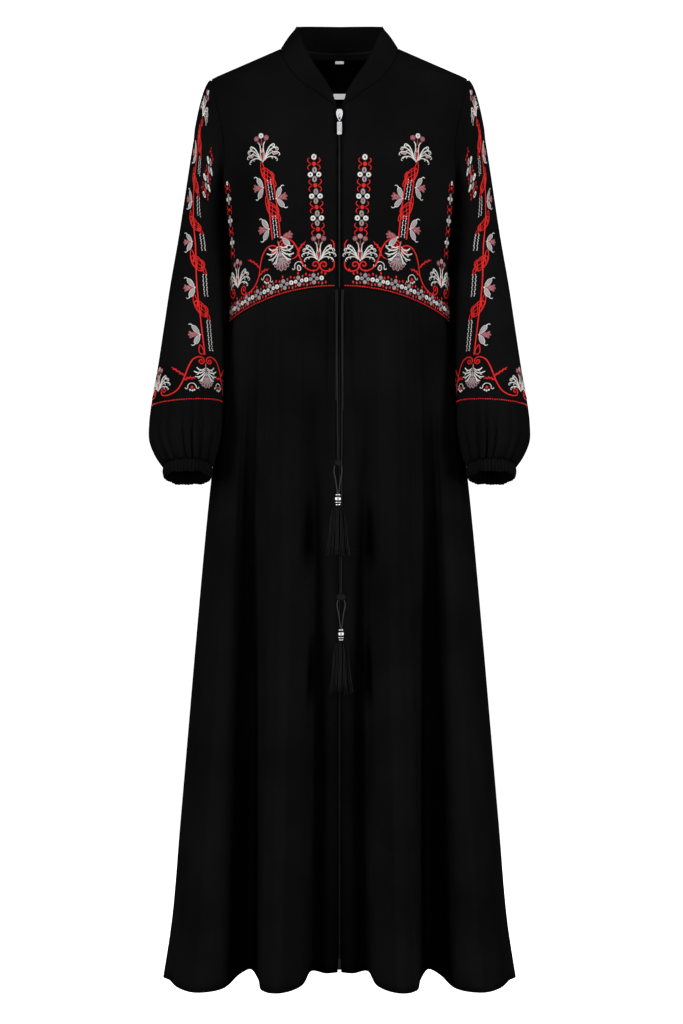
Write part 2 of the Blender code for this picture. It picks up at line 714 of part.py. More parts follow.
def cuff_rows(sleeve_out, sleeve_in):
    """Outer and inner rows of the gathered elastic cuff below a sleeve."""
    tilt = math.radians(SLEEVE[-1].tilt)
    down = np.array([0.0, -math.sin(tilt), -math.cos(tilt)])
    top_out = doubled(sleeve_out) + SEAM_GAP * down
    top_in = doubled(sleeve_in) + SEAM_GAP * down
    middle = top_out.mean(axis=0)
    count = len(top_out)
    turn = np.arange(count) * 2.0 * math.pi / count
    reach = (SLEEVE[-1].x_out - SLEEVE[-1].x_in) / 2.0
    forward = np.array([0.0, -math.cos(tilt), math.sin(tilt)])
    rib = CUFF_RIB * np.cos(math.pi * np.arange(count))
    rows_out, rows_in = [top_out], [top_in]
    for share in CUFF_STEPS:
        swell = CUFF_BULGE * math.sin(math.pi * share) - CUFF_DRAW
        across = (reach + swell + rib) * np.cos(turn)
        fore = (SLEEVE[-1].half_depth + swell + rib) * np.sin(turn)
        ring = middle + share * CUFF_LENGTH * down + across[:, None] * np.array([1.0, 0.0, 0.0])
        ring = ring + fore[:, None] * forward
        to_axis = unit(ring - (middle + share * CUFF_LENGTH * down))
        rows_out.append(ring)
        rows_in.append(ring - CLOTH * to_axis)
    return rows_out, rows_in


def make_sleeves():
    """Both sleeves and both cuffs, the left pair mirrored from the right one."""
    sleeve = sleeve_rows()
    cuff = cuff_rows(sleeve[0][-1], sleeve[1][-1])
    for side, flip in (("right", False), ("left", True)):
        for part, (rows_out, rows_in) in (("sleeve_", sleeve), ("cuff_", cuff)):
            name = part + side
            out = [mirrored(r) if flip else r for r in rows_out]
            inn = [mirrored(r) if flip else r for r in rows_in]
            add_object(name, wall_mesh(name, out, inn, True), cloth(name))


# ---------------------------------------------------------------- zip

def front_edge(face):
    """Edge points and next column of the +X fronts, top down; face 0 is outer, 1 inner."""
    panel = bodice_panel(back=False)[face][::-1]
    skirt = opened(skirt_walls()[face], 0, 1.0)
    edge = np.concatenate([panel[:, 0], skirt[1:, 0]])
    following = np.concatenate([panel[:, 1], skirt[1:, 1]])
    return edge, following


def behind_edge(face, x, z):
    """Points of the front panel's facets carried on to x, at heights z."""
    edge, following = front_edge(face)
    share = (x - edge[:, 0]) / (following[:, 0] - edge[:, 0])
    line = edge + share[:, None] * (following - edge)
    order = np.argsort(line[:, 2])
    y = np.interp(z, line[order, 2], line[order, 1])
    return np.stack([np.full_like(z, x), y, z], axis=-1)


def zip_heights(top_z, end_z):
    """Heights of the front panel's rows between top_z and end_z, from the top down."""
    z = front_edge(0)[0][:, 2]
    inside = z[(z < top_z - ROW_CLEAR) & (z > end_z + ROW_CLEAR)]
    return np.concatenate([[top_z], inside, [end_z]])


def zip_band(name, x_from, x_to, heights, face, off, thick, mat):
    """A strip along the front edges, its front off behind the outer or inner face."""
    outer, inner = [], []
    lines = [behind_edge(face, abs(x), heights) for x in (x_from, x_to)]
    for line, x in zip(lines, (x_from, x_to)):
        line[:, 0] = x
    slope = np.gradient(lines[0][:, 1], heights)
    normals = unit(np.stack([np.zeros_like(slope), -np.ones_like(slope), slope], axis=-1))
    for a, b, n in zip(lines[0], lines[1], normals):
        row = np.array([a, b]) - off * n
        outer.append(row)
        inner.append(row - thick * n)
    add_object(name, wall_mesh(name, outer, inner, False), mat, smooth_shade=False)


def make_zip():
    """Tapes behind both front edges and the closed chain between them."""
    black = material("mat_zip_tape", TRIM_BLACK, 0.8)
    for side, sign in (("left", -1.0), ("right", 1.0)):
        zip_band("zip_tape_" + side, sign * TAPE_IN, sign * TAPE_OUT,
                 zip_heights(TAPE_TOP_Z, TAPE_END_Z), 1, LAID_GAP, TRIM, black)
    zip_band("zip_chain", -CHAIN_HALF, CHAIN_HALF, zip_heights(CHAIN_TOP_Z, CHAIN_END_Z),
             1, LAID_GAP - (CHAIN_DEPTH - TRIM) / 2.0, CHAIN_DEPTH,
             material("mat_zip_chain", TRIM_BLACK, 0.5))


def link_object(name, data, mat):
    """A new object in the garment's collection, with its material."""
    obj = bpy.data.objects.new(name, data)
    bpy.data.collections[COLLECTION].objects.link(obj)
    data.materials.append(mat)
    return obj


def evaluated_mesh(obj):
    """The mesh that an object makes with its modifiers or its curve settings."""
    graph = bpy.context.evaluated_depsgraph_get()
    return bpy.data.meshes.new_from_object(obj.evaluated_get(graph), depsgraph=graph)


def fused(target, other):
    """Join other to target with a union and remove other."""
    step = target.modifiers.new("join", "BOOLEAN")
    step.operation = "UNION"
    step.object = other
    step.solver = "EXACT"
    mesh = evaluated_mesh(target)
    target.modifiers.clear()
    target.data = mesh
    bpy.data.objects.remove(other)


def plate(name, outline, y_front, thick, mat):
    """A flat piece in the front view: its (x, z) outline, extruded, front face at y_front."""
    curve = bpy.data.curves.new(name, "CURVE")
    curve.dimensions = "2D"
    curve.fill_mode = "BOTH"
    curve.extrude = thick / 2.0
    spline = curve.splines.new("POLY")
    spline.points.add(len(outline) - 1)
    for point, (x, z) in zip(spline.points, outline):
        point.co = (x, z, 0.0, 1.0)
    spline.use_cyclic_u = True
    flat = link_object(name + "_outline", curve, mat)
    flat.location = (0.0, y_front + thick / 2.0, 0.0)
    flat.rotation_euler = (math.pi / 2.0, 0.0, 0.0)
    mesh = evaluated_mesh(flat)
    work = bmesh.new()
    work.from_mesh(mesh)
    bmesh.ops.remove_doubles(work, verts=work.verts, dist=1e-6)
    work.to_mesh(mesh)
    work.free()
    obj = bpy.data.objects.new(name, mesh)
    bpy.data.collections[COLLECTION].objects.link(obj)
    obj.matrix_basis = flat.matrix_basis
    bpy.data.objects.remove(flat)
    return obj


def rounded_box(x_half, z_low, z_high, radius, steps=4):
    """Outline of a rectangle with round corners."""
    points = []
    for cx, cz, turn in ((x_half, z_low, -90), (x_half, z_high, 0),
                         (-x_half, z_high, 90), (-x_half, z_low, 180)):
        ox = cx - math.copysign(radius, cx)
        oz = cz + (radius if cz == z_low else -radius)
        for k in range(steps + 1):
            angle = math.radians(turn + 90.0 * k / steps)
            points.append((ox + radius * math.cos(angle), oz + radius * math.sin(angle)))
    return points


def wire_ring(name, at, major, wire, turned_by, mat):
    """A ring of round wire; turned_by is its rotation in radians."""
    bpy.ops.mesh.primitive_torus_add(major_radius=major, minor_radius=wire, location=at,
                                     rotation=turned_by, major_segments=RING_SIDES[0],
                                     minor_segments=RING_SIDES[1])
    return take(name, mat)


def take(name, mat):
    """Name the primitive that was just added and put it in the garment's collection."""
    obj = bpy.context.active_object
    obj.name = name
    for held_in in list(obj.users_collection):
        held_in.objects.unlink(obj)
    bpy.data.collections[COLLECTION].objects.link(obj)
    obj.data.materials.append(mat)
    return obj


def hung_on(obj, pivot, lean):
    """Turn an object by the pull's lean and put its origin on its hinge."""
    place = Matrix.Translation(lean @ Vector(pivot))
    obj.data.transform(place.inverted() @ lean @ obj.matrix_basis)
    obj.matrix_basis = place


def slider_face():
    """Depth of the front of the slider's plate."""
    face = behind_edge(0, EDGE_HALF, np.array([SLIDER_TOP_Z - SLIDER_LENGTH]))[0, 1]
    return float(face) - SLIDER_GAP - SLIDER_PLATE


def pull_axes():
    """Depth of the hanging pull, height of the link's hinge and of the tab's hinge."""
    bow = CROWN_WIRE * CROWN_RISE / CROWN_HALF
    hinge_y = slider_face() - CROWN_RISE + bow + LINK_WIRE + PULL_CLEAR
    hinge_z = SLIDER_TOP_Z - CROWN_DROP + LINK_RAISE
    return hinge_y, hinge_z, hinge_z - LINK_LENGTH


def make_slider():
    """Slider: front plate, body between the front edges, and the crown that holds the link."""
    silver = material("mat_zip_slider", SILVER, 0.25, 1.0)
    front = slider_face()
    end_z = SLIDER_TOP_Z - SLIDER_LENGTH
    wide_z = SLIDER_TOP_Z - SLIDER_SHOULDER
    right = [(SLIDER_END_HALF, end_z), (SLIDER_TOP_HALF, wide_z), (SLIDER_NECK_HALF, SLIDER_TOP_Z)]
    outline = right + [(-x, z) for x, z in reversed(right)]
    slider = plate("zip_slider", outline, front, SLIDER_PLATE, silver)
    stem = rounded_box(STEM_HALF, end_z, SLIDER_TOP_Z - STEM_DROP, STEM_ROUND, 2)
    fused(slider, plate("zip_stem", stem, front + SLIDER_PLATE / 2.0, STEM_DEPTH, silver))
    arch = wire_ring("zip_crown", (0.0, front, SLIDER_TOP_Z - CROWN_DROP), CROWN_HALF, CROWN_WIRE,
                     (0.0, math.pi / 2.0, 0.0), silver)
    arch.scale = (1.0, CROWN_RISE / CROWN_HALF, 1.0)
    fused(slider, arch)


def make_pull():
    """Link and tab, each a body of its own with its origin on its hinge."""
    silver = material("mat_zip_pull", SILVER, 0.22, 1.0)
    hinge_y, hinge_z, knee_z = pull_axes()
    hinge = Matrix.Translation((0.0, hinge_y, hinge_z))
    lean = hinge @ Matrix.Rotation(-PULL_LEAN, 4, "X") @ hinge.inverted()
    link = wire_ring("pull_link", (0.0, hinge_y, (hinge_z + knee_z) / 2.0), LINK_RADIUS, LINK_WIRE,
                     (math.pi / 2.0, 0.0, 0.0), silver)
    stretch = LINK_LENGTH / 2.0 / LINK_RADIUS
    link.scale = (LINK_NARROW, stretch, 1.0)
    hung_on(link, (0.0, hinge_y, hinge_z), lean)
    eye_z = knee_z + LINK_WIRE * stretch + PULL_CLEAR - (EYE_RADIUS - EYE_WIRE)
    top_z = eye_z - EYE_RADIUS
    tab = plate("pull_tab", rounded_box(TAB_HALF, top_z - TAB_LENGTH, top_z, TAB_ROUND),
                hinge_y - TAB_THICK / 2.0, TAB_THICK, silver)
    fused(tab, wire_ring("pull_eye", (0.0, hinge_y, eye_z), EYE_RADIUS, EYE_WIRE,
                         (0.0, math.pi / 2.0, 0.0), silver))
    hung_on(tab, (0.0, hinge_y, knee_z), lean)


# ---------------------------------------------------------------- ties and tassels

def tube(name, route, diameter, mat):
    """A cord along a smooth curve through the route's own points."""
    route = np.array(route, dtype=float)
    steps = np.linalg.norm(np.diff(route, axis=0), axis=1)
    walked = np.concatenate([[0.0], np.cumsum(steps)])
    count = max(TUBE_LEAST, int(round(walked[-1] / TUBE_STEP)))
    want = np.linspace(0.0, walked[-1], count)
    points = np.stack([smooth(walked, route[:, k], want) for k in range(3)], axis=-1)
    curve = bpy.data.curves.new(name, "CURVE")
    curve.dimensions = "3D"
    curve.bevel_depth = diameter / 2.0
    curve.bevel_resolution = 2
    curve.use_fill_caps = True
    spline = curve.splines.new("POLY")
    spline.points.add(count - 1)
    for point, place in zip(spline.points, points):
        point.co = (*place, 1.0)
    return link_object(name, curve, mat)


def turned(name, x, y, profile, mat):
    """A solid turned about a vertical axis at x, y from (radius, z) pairs, top to bottom."""
    points = [(0.0, 0.0, profile[0][1])] + [(r, 0.0, z) for r, z in profile]
    points.append((0.0, 0.0, profile[-1][1]))
    mesh = bpy.data.meshes.new(name)
    mesh.from_pydata(points, [(k, k + 1) for k in range(len(points) - 1)], [])
    obj = link_object(name, mesh, mat)
    obj.location = (x, y, 0.0)
    spin = obj.modifiers.new("turn", "SCREW")
    spin.steps = spin.render_steps = TURNS
    spin.use_merge_vertices = True
    spin.merge_threshold = 0.00002
    return obj


def tie_depth(tie):
    """Depth at which a tie's knot, bead and tassel hang."""
    return TASSEL_Y if tie.side == "upper" else TIE_Y


def tie_route(tie):
    """Places that a waist tie passes between the empire seam and its knot."""
    drop = tie.exit_z - (tie.knot_z + KNOT_HALF + CORD_GAP)
    fore = tie_depth(tie) - TIE_Y
    route = [(tie.x, TIE_Y + TIE_TUCK, tie.exit_z)]
    for at in TIE_PATH:
        route.append((tie.x * at.side, TIE_Y + fore * at.fore, tie.exit_z - drop * at.down))
    return route


def make_tie(tie):
    """One waist tie: cord, knot, the two strands of its loop, ribbed bead and tassel."""
    cord = material("mat_tie_" + tie.side, TRIM_BLACK, 0.55)
    y = tie_depth(tie)
    x = tie.x * TIE_PATH[-1].side
    tube("tie_" + tie.side, tie_route(tie), TIE, cord)
    bpy.ops.mesh.primitive_uv_sphere_add(segments=TURNS, ring_count=7, radius=KNOT_HALF,
                                         location=(x, y, tie.knot_z))
    knot = take("knot_" + tie.side, cord)
    knot.scale = KNOT_SHAPE
    knot.data.shade_smooth()
    low = tie.knot_z - KNOT_HALF - CORD_GAP
    for side, sign in (("a", -1.0), ("b", 1.0)):
        tube("loop_" + tie.side + "_" + side,
             [(x + sign * LOOP_START, y, low),
              (x + sign * LOOP_WIDE, y, low - LOOP_WIDE_DROP),
              (x + sign * LOOP_MIDDLE, y, (low + tie.bead_z) / 2.0),
              (x + sign * LOOP_END, y, tie.bead_z + CORD_GAP)], LOOP, cord)
    make_bead(tie, x, y)
    make_tassel(tie, x, y)


def make_bead(tie, x, y):
    """Ribbed barrel bead."""
    levels = np.linspace(tie.bead_z, tie.tassel_z + CORD_GAP, 2 * BEAD_RIBS + 1)
    radii = np.where(np.arange(len(levels)) % 2 == 0, BEAD_GROOVE, BEAD_RADIUS)
    turned("bead_" + tie.side, x, y, list(zip(radii, levels)),
           material("mat_bead_" + tie.side, SILVER, 0.3, 1.0))


def strand_points(tie, x, y, share, turn):
    """Corners of one strand, from its root in the head down to the tassel's hem."""
    root_z = tie.tassel_z - TASSEL_HEAD * ROOT_UP
    root = TASSEL_TOP * ROOT_IN
    corners = []
    for down in STRAND_STEPS:
        radius = share * (root + (TASSEL_FLARE - root) * down ** STRAND_BEND)
        z = root_z + (tie.hem_z - root_z) * down
        width = STRAND * (STRAND_ROOT + (1.0 - STRAND_ROOT) * min(1.0, 2.0 * down)) / 1.6
        for corner in range(STRAND_SIDES):
            a = turn + corner * 2.0 * math.pi / STRAND_SIDES
            corners.append((x + radius * math.cos(turn) + width * math.cos(a),
                            y + radius * math.sin(turn) + width * math.sin(a), z))
    return corners


def make_tassel(tie, x, y):
    """A wrapped head with strands that spread below it, their roots fused in the head."""
    mat = material("mat_tassel_" + tie.side, TRIM_BLACK, 0.6)
    top = tie.tassel_z
    profile = [(TASSEL_CROWN, top), (TASSEL_TOP, top - TASSEL_SHOULDER),
               (TASSEL_NECK, top - TASSEL_HEAD)]
    head = turned("tassel_" + tie.side, x, y, profile, mat)
    golden = math.pi * (3.0 - math.sqrt(5.0))
    points, faces = [], []
    for k in range(STRANDS):
        base = len(points)
        points += strand_points(tie, x, y, math.sqrt((k + 0.5) / STRANDS), k * golden)
        for ring in range(len(STRAND_STEPS) - 1):
            upper = base + ring * STRAND_SIDES
            faces += ring_faces(upper, upper + STRAND_SIDES, STRAND_SIDES, STRAND_SIDES, True)
        faces.append(tuple(range(base, base + STRAND_SIDES)))
        faces.append(tuple(range(len(points) - 1, len(points) - 1 - STRAND_SIDES, -1)))
    mesh = bpy.data.meshes.new("strands")
    mesh.from_pydata(points, [], faces)
    fused(head, add_object("strands", mesh, mat))


def make_tails():
    """The two short free ends that hang beside the ties."""
    for tail, tie in zip(TAILS, TIES):
        mat = material("mat_tie_end_" + tie.side, TRIM_BLACK, 0.55)
        x = tie.x + tail.side * (TIE + TAIL_GAP)
        route = [(x, TIE_Y + TIE_TUCK, tie.exit_z)]
        route += [(x, TIE_Y, tie.exit_z - drop) for drop in TAIL_PATH]
        route.append((x, TIE_Y, tail.end_z))
        tube("tie_end_" + tie.side, route, TIE, mat)


# ---------------------------------------------------------------- inside of the neck

def laid_inside(strip, mat):
    """A strip on the inner face of the back bodice, made from the panel's points moved in."""
    inner = bodice_panel(back=True)[1]
    face = np.concatenate([mirrored(inner)[:, :0:-1], inner], axis=1)
    centre = face[:, face.shape[1] // 2, 2]
    x = np.linspace(-strip.width / 2.0, strip.width / 2.0, strip.cols)
    rows_out, rows_in = [], []
    for z in np.linspace(strip.top_z, strip.top_z - strip.height, 3):
        place = float(np.interp(z, centre, np.arange(len(centre))))
        low = min(int(place), len(centre) - 2)
        line = face[low] + (place - low) * (face[low + 1] - face[low])
        on_face = np.stack([x] + [np.interp(x, line[:, 0], line[:, k]) for k in (1, 2)], axis=-1)
        normals = torso_normals(on_face, True)
        near = on_face - LAID_GAP * normals
        rows_out.append(near)
        rows_in.append(near - TRIM * normals)
    add_object(strip.name, wall_mesh(strip.name, rows_out, rows_in, False), mat)


def make_neck_inside():
    """Neck tape under the collar seam and two plain labels."""
    for strip in INSIDE_STRIPS:
        color = TRIM_BLACK if strip.name == "neck_tape" else WHITE
        laid_inside(strip, material("mat_" + strip.name, color, 0.7))


# ---------------------------------------------------------------- whole

def main():
    """Clear the scene and build the garment."""
    for obj in list(bpy.data.objects):
        bpy.data.objects.remove(obj, do_unlink=True)
    parts = bpy.data.collections.new(COLLECTION)
    bpy.context.scene.collection.children.link(parts)
    make_bodice()
    make_collar()
    make_skirt()
    make_sleeves()
    make_zip()
    make_slider()
    make_pull()
    for tie in TIES:
        make_tie(tie)
    make_tails()
    make_neck_inside()


main()
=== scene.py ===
"""Looks of a black abaya cloak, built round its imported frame.

Units are metres, +Z up. The front faces -Y and +X is to the right of someone who
looks at the front. The origin is the middle of the neck at shoulder height.

Each cloth piece is a grid of points worked out from the cut's own sizes, finer than
the solid that it stands for, given its creases and then a thickness. Embroidery is
thread geometry that is drawn on a flat plan and laid on the cloth.
"""

from __future__ import annotations

import logging
import math
from collections.abc import Callable, Iterable, Sequence
from dataclasses import dataclass, field
from enum import Enum

import bpy
import numpy as np
from numpy.typing import NDArray
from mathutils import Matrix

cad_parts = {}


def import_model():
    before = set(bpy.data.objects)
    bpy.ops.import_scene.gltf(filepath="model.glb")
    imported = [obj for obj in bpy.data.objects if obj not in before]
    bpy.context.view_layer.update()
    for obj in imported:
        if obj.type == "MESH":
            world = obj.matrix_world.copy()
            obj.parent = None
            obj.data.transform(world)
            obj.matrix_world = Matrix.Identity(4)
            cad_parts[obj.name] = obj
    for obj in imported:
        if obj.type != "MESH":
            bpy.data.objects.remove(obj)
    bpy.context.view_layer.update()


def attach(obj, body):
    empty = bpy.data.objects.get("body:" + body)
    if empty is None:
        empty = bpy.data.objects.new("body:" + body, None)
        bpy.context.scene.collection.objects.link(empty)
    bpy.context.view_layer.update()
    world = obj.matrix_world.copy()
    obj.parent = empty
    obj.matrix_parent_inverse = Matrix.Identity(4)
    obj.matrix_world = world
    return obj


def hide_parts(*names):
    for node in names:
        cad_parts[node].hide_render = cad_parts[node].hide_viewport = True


Array = NDArray[np.float64]
Solid = tuple[Array, Array, Array]      # points, quads and tris
Flat = tuple[float, float]
Spot = tuple[float, float, float]
Line = Sequence[Flat]
Mesh = bpy.types.Mesh
Material = bpy.types.Material
Piece = bpy.types.Object
Tree = bpy.types.NodeTree
Node = bpy.types.Node
Socket = bpy.types.NodeSocket
LOG = logging.getLogger("abaya")
NO_TRIS = np.zeros((0, 3), int)

GARMENT = "garment"
LINK_BODY = "zip_link"
PULL_BODY = "zip_pull"

CLOTH = 0.0014           # thickness of the cloth as it shows
EDGE_HALF = 0.0045       # half of the front opening that the zip fills
SEAM_INSET = 0.0028      # how far inside a seam the cloth starts to roll under
SEAM_SINK = 0.0009       # how deep the roll goes


class Side(Enum):
    """Side of the garment, as seen by someone who looks at its front."""

    LEFT = -1
    RIGHT = 1

    @property
    def word(self) -> str:
        """The side in the node names."""
        return self.name.lower()


class Face(Enum):
    """Front or back half of the body."""

    FRONT = -1
    BACK = 1


class Slot(Enum):
    """Material slots of the record."""

    CREPE = "crepe"
    CORD = "cord"
    TAPE = "zip_tape"
    CHAIN = "zip_chain"
    METAL = "metal"
    LABEL = "label"
    RED = "thread_red"
    WHITE = "thread_white"
    ROSE = "thread_rose"


# ------------------------------------------------------------------ arrays


def smooth(knots: Sequence[float], values: Sequence[float], x: Array,
           swell: Array | float = 1.0) -> Array:
    """Cubic curve through the knots of a short table.

    Args:
        knots: increasing places of the table's rows.
        values: what the table says at each of them.
        x: places to read.
        swell: factor on the curve's slope at each knot.

    Returns:
        The curve at x, held at the ends outside the table.
    """
    at = np.asarray(knots, dtype=float)
    says = np.asarray(values, dtype=float)
    x = np.clip(np.asarray(x, dtype=float), at[0], at[-1])
    slopes = np.gradient(says, at) * swell
    k = np.clip(np.searchsorted(at, x, side="right") - 1, 0, len(at) - 2)
    step = at[k + 1] - at[k]
    f = (x - at[k]) / step
    ease = f * f * (3.0 - 2.0 * f)
    leave = f * (1.0 - f) ** 2 * step * slopes[k]
    arrive = f * f * (1.0 - f) * step * slopes[k + 1]
    return says[k] + ease * (says[k + 1] - says[k]) + leave - arrive


def fields_of(rows: Sequence[object], *names: str) -> list[Array]:
    """Columns of a table of dataclass rows, one array for each name."""
    return [np.array([getattr(row, name) for row in rows], dtype=float) for name in names]


def unit(vectors: Array) -> Array:
    """Vectors scaled to length one along the last axis."""
    return vectors / np.maximum(np.linalg.norm(vectors, axis=-1, keepdims=True), 1e-12)


def mirrored(points: Array) -> Array:
    """The same points on the other side of the centre plane."""
    return points * np.array([-1.0, 1.0, 1.0])


def walked(points: Array) -> Array:
    """Distance gone along a line of points, at each of them."""
    steps = np.linalg.norm(np.diff(points, axis=0), axis=-1)
    return np.concatenate([[0.0], np.cumsum(steps)])


def resampled(points: Array, count: int) -> Array:
    """A smooth curve through points, read at count places a like distance apart."""
    way = walked(points)
    want = np.linspace(0.0, way[-1], count)
    return np.stack([smooth(way, points[:, k], want) for k in range(points.shape[1])], axis=-1)


def grid_normals(grid: Array, wrap: bool) -> Array:
    """Normals of a grid that goes round the body, facing away from its middle.

    Args:
        grid: points, shape (rows, cols, 3).
        wrap: whether the last column joins the first.

    Returns:
        Unit normals: the cross product of the grid's two differences.
    """
    if wrap:
        along = np.roll(grid, -1, axis=1) - np.roll(grid, 1, axis=1)
    else:
        along = np.gradient(grid, axis=1)
    normals = unit(np.cross(np.gradient(grid, axis=0), along))
    middle = grid.mean(axis=1, keepdims=True)
    return normals * np.sign(np.sum(normals * (grid - middle)))


def inside(grid: Array, wrap: bool = False, thick: float = CLOTH) -> Array:
    """The inner face of cloth whose outer face is the grid."""
    return grid - thick * grid_normals(grid, wrap)


def bell(distance: Array, width: float) -> Array:
    """Soft bump that is 1 at no distance and falls off over width."""
    return np.exp(-((distance / width) ** 2))


def spots(*coordinates: Array | float) -> Array:
    """Points from their coordinates, each told for every point or once for many."""
    return np.stack(np.broadcast_arrays(*coordinates), axis=-1)


def cosine_sine(angle: Array) -> Array:
    """Cosine and sine of an angle, side by side."""
    return spots(np.cos(angle), np.sin(angle))


def full_turn(count: int) -> Array:
    """The angles of a full turn in so many steps, from 0."""
    return np.arange(count) * 2.0 * math.pi / count


# ------------------------------------------------------------------ meshes


def mesh_from(name: str, points: Array, quads: Array, tris: Array = NO_TRIS,
              uv: Array | None = None, closed: bool = True) -> Mesh:
    """Put arrays of points and faces into a mesh.

    Args:
        name: name of the mesh.
        points: shape (n, 3).
        quads: corner indices, shape (m, 4).
        tris: corner indices, shape (k, 3).
        uv: a flat coordinate for each point, shape (n, 2).
        closed: whether the faces close, so that their volume tells which way they face.

    Returns:
        The mesh, shaded smooth, with its faces pointing out.
    """
    if closed:
        fan = np.concatenate([quads[:, [0, 1, 2]], quads[:, [0, 2, 3]], tris])
        a, b, c = (points[fan[:, k]] for k in range(3))
        if np.einsum("ij,ij->i", a, np.cross(b, c)).sum() < 0.0:
            quads, tris = quads[:, ::-1], tris[:, ::-1]
    mesh = bpy.data.meshes.new(name)
    corners = np.concatenate([quads.ravel(), tris.ravel()])
    starts = np.concatenate([np.arange(len(quads)) * 4, quads.size + np.arange(len(tris)) * 3])
    mesh.vertices.add(len(points))
    mesh.vertices.foreach_set("co", points.astype(np.float32).ravel())
    mesh.loops.add(len(corners))
    mesh.loops.foreach_set("vertex_index", corners.astype(np.int32))
    mesh.polygons.add(len(starts))
    mesh.polygons.foreach_set("loop_start", starts.astype(np.int32))
    mesh.update(calc_edges=True)
    if uv is not None:
        layer = mesh.uv_layers.new(name="UVMap")
        layer.data.foreach_set("uv", uv[corners].astype(np.float32).ravel())
    mesh.shade_smooth()
    mesh.validate()
    return mesh


def grid_quads(rows: int, cols: int, wrap: bool) -> Array:
    """Corner indices of a grid's faces, whose points are numbered row by row."""
    across = np.arange(cols if wrap else cols - 1)
    down = np.arange(rows - 1)[:, None] * cols
    ahead = (across + 1) % cols
    return np.stack([down + across, down + ahead, down + cols + ahead, down + cols + across],
                    axis=-1).reshape(-1, 4)


def pole_fans(rows: int, sides: int) -> Array:
    """Triangles from the first and last ring to two poles that are numbered after the rings."""
    edge = np.arange(sides)
    ahead = (edge + 1) % sides
    last, pole = (rows - 1) * sides, rows * sides
    low = np.stack([ahead, edge, np.full(sides, pole)], axis=-1)
    high = np.stack([last + edge, last + ahead, np.full(sides, pole + 1)], axis=-1)
    return np.concatenate([low, high])


def capped(rings: Array, poles: Array) -> Solid:
    """Rings of points, shape (rows, sides, 3), closed by a pole at each end."""
    rows, sides = rings.shape[:2]
    points = np.concatenate([rings.reshape(-1, 3), poles])
    return points, grid_quads(rows, sides, True), pole_fans(rows, sides)


def shell(outer: Array, inner: Array, wrap: bool = False) -> Solid:
    """Closed wall between an outer grid and the same grid moved inwards.

    Args:
        outer: shape (rows, cols, 3).
        inner: the same shape.
        wrap: whether the last column joins the first.

    Returns:
        Points, quads and no tris, with the rims closed.
    """
    rows, cols = outer.shape[:2]
    total = rows * cols
    face = grid_quads(rows, cols, wrap)
    edge = np.arange(cols if wrap else cols - 1)
    ahead = (edge + 1) % cols
    last = (rows - 1) * cols
    parts = [face, face[:, ::-1] + total,
             np.stack([ahead, edge, edge + total, ahead + total], axis=-1),
             np.stack([edge, ahead, ahead + total, edge + total], axis=-1) + last]
    if not wrap:
        side = np.arange(rows - 1) * cols
        parts.append(np.stack([side, side + cols, side + cols + total, side + total], axis=-1))
        side = side + cols - 1
        parts.append(np.stack([side + cols, side, side + total, side + cols + total], axis=-1))
    points = np.concatenate([outer.reshape(-1, 3), inner.reshape(-1, 3)])
    return points, np.concatenate(parts), NO_TRIS


def twice(uv: Array) -> Array:
    """The flat coordinates of an outer face, for it and the inner face."""
    return np.concatenate([uv.reshape(-1, 2)] * 2)


def shell_mesh(name: str, outer: Array, inner: Array, wrap: bool = False) -> Mesh:
    """The same wall as a mesh, with the outer face's flat coordinates on both faces."""
    return mesh_from(name, *shell(outer, inner, wrap), uv=twice(measured_uv(outer)))


def measured_uv(grid: Array) -> Array:
    """Flat coordinates of a grid in metres: along the rows, and up from the last row."""
    along = np.linalg.norm(np.diff(grid, axis=1), axis=-1)
    along = np.concatenate([np.zeros((len(grid), 1)), np.cumsum(along, axis=1)], axis=1)
    along -= along[:, -1:] / 2.0
    down = np.linalg.norm(np.diff(grid, axis=0), axis=-1)
    down = np.concatenate([np.zeros((1, grid.shape[1])), np.cumsum(down, axis=0)])
    return np.stack([along, down[-1:] - down], axis=-1)


def rolled(grid: Array, edges: Iterable[str]) -> Array:
    """A grid whose named edges roll under, as cloth does at a seam.

    A line of points is added SEAM_INSET inside each edge, and the edge itself sinks.

    Args:
        grid: shape (rows, cols, 3).
        edges: any of top, bottom, left and right.

    Returns:
        The grid with its added lines.
    """
    for edge in edges:
        turned = {"top": grid, "bottom": grid[::-1], "left": grid.swapaxes(0, 1),
                  "right": grid[:, ::-1].swapaxes(0, 1)}[edge]
        step = turned[1] - turned[0]
        size = np.linalg.norm(step, axis=-1, keepdims=True)
        extra = turned[0] + step * np.minimum(0.45, SEAM_INSET / np.maximum(size, 1e-9))
        turned = np.concatenate([turned[:1], extra[None], turned[1:]])
        grid = {"top": turned, "bottom": turned[::-1], "left": turned.swapaxes(0, 1),
                "right": turned.swapaxes(0, 1)[:, ::-1]}[edge]
    normals = grid_normals(grid, False)
    sink = np.zeros(grid.shape[:2])
    for edge in edges:
        line = {"top": (0, slice(None)), "bottom": (-1, slice(None)), "left": (slice(None), 0),
                "right": (slice(None), -1)}[edge]
        sink[line] = SEAM_SINK
    return grid - sink[..., None] * normals


def linked(name: str, data: bpy.types.ID) -> Piece:
    """A new object of the scene that shows the data."""
    obj = bpy.data.objects.new(name, data)
    bpy.context.scene.collection.objects.link(obj)
    return obj


def add_piece(name: str, mesh: Mesh, finish: Material, body: str = GARMENT,
              stands_for: Sequence[str] = ()) -> Piece:
    """Make a finished piece of the garment from its mesh.

    Args:
        name: name of the object.
        mesh: its mesh, in place.
        finish: its material.
        body: the body that it moves with.
        stands_for: the frame's nodes that it replaces.

    Returns:
        The object, at the origin.
    """
    obj = linked(name, mesh)
    mesh.materials.append(finish)
    if stands_for:
        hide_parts(*stands_for)
    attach(obj, body)
    LOG.info("%s: %d faces, rides on %s", name, len(mesh.polygons), body)
    return obj


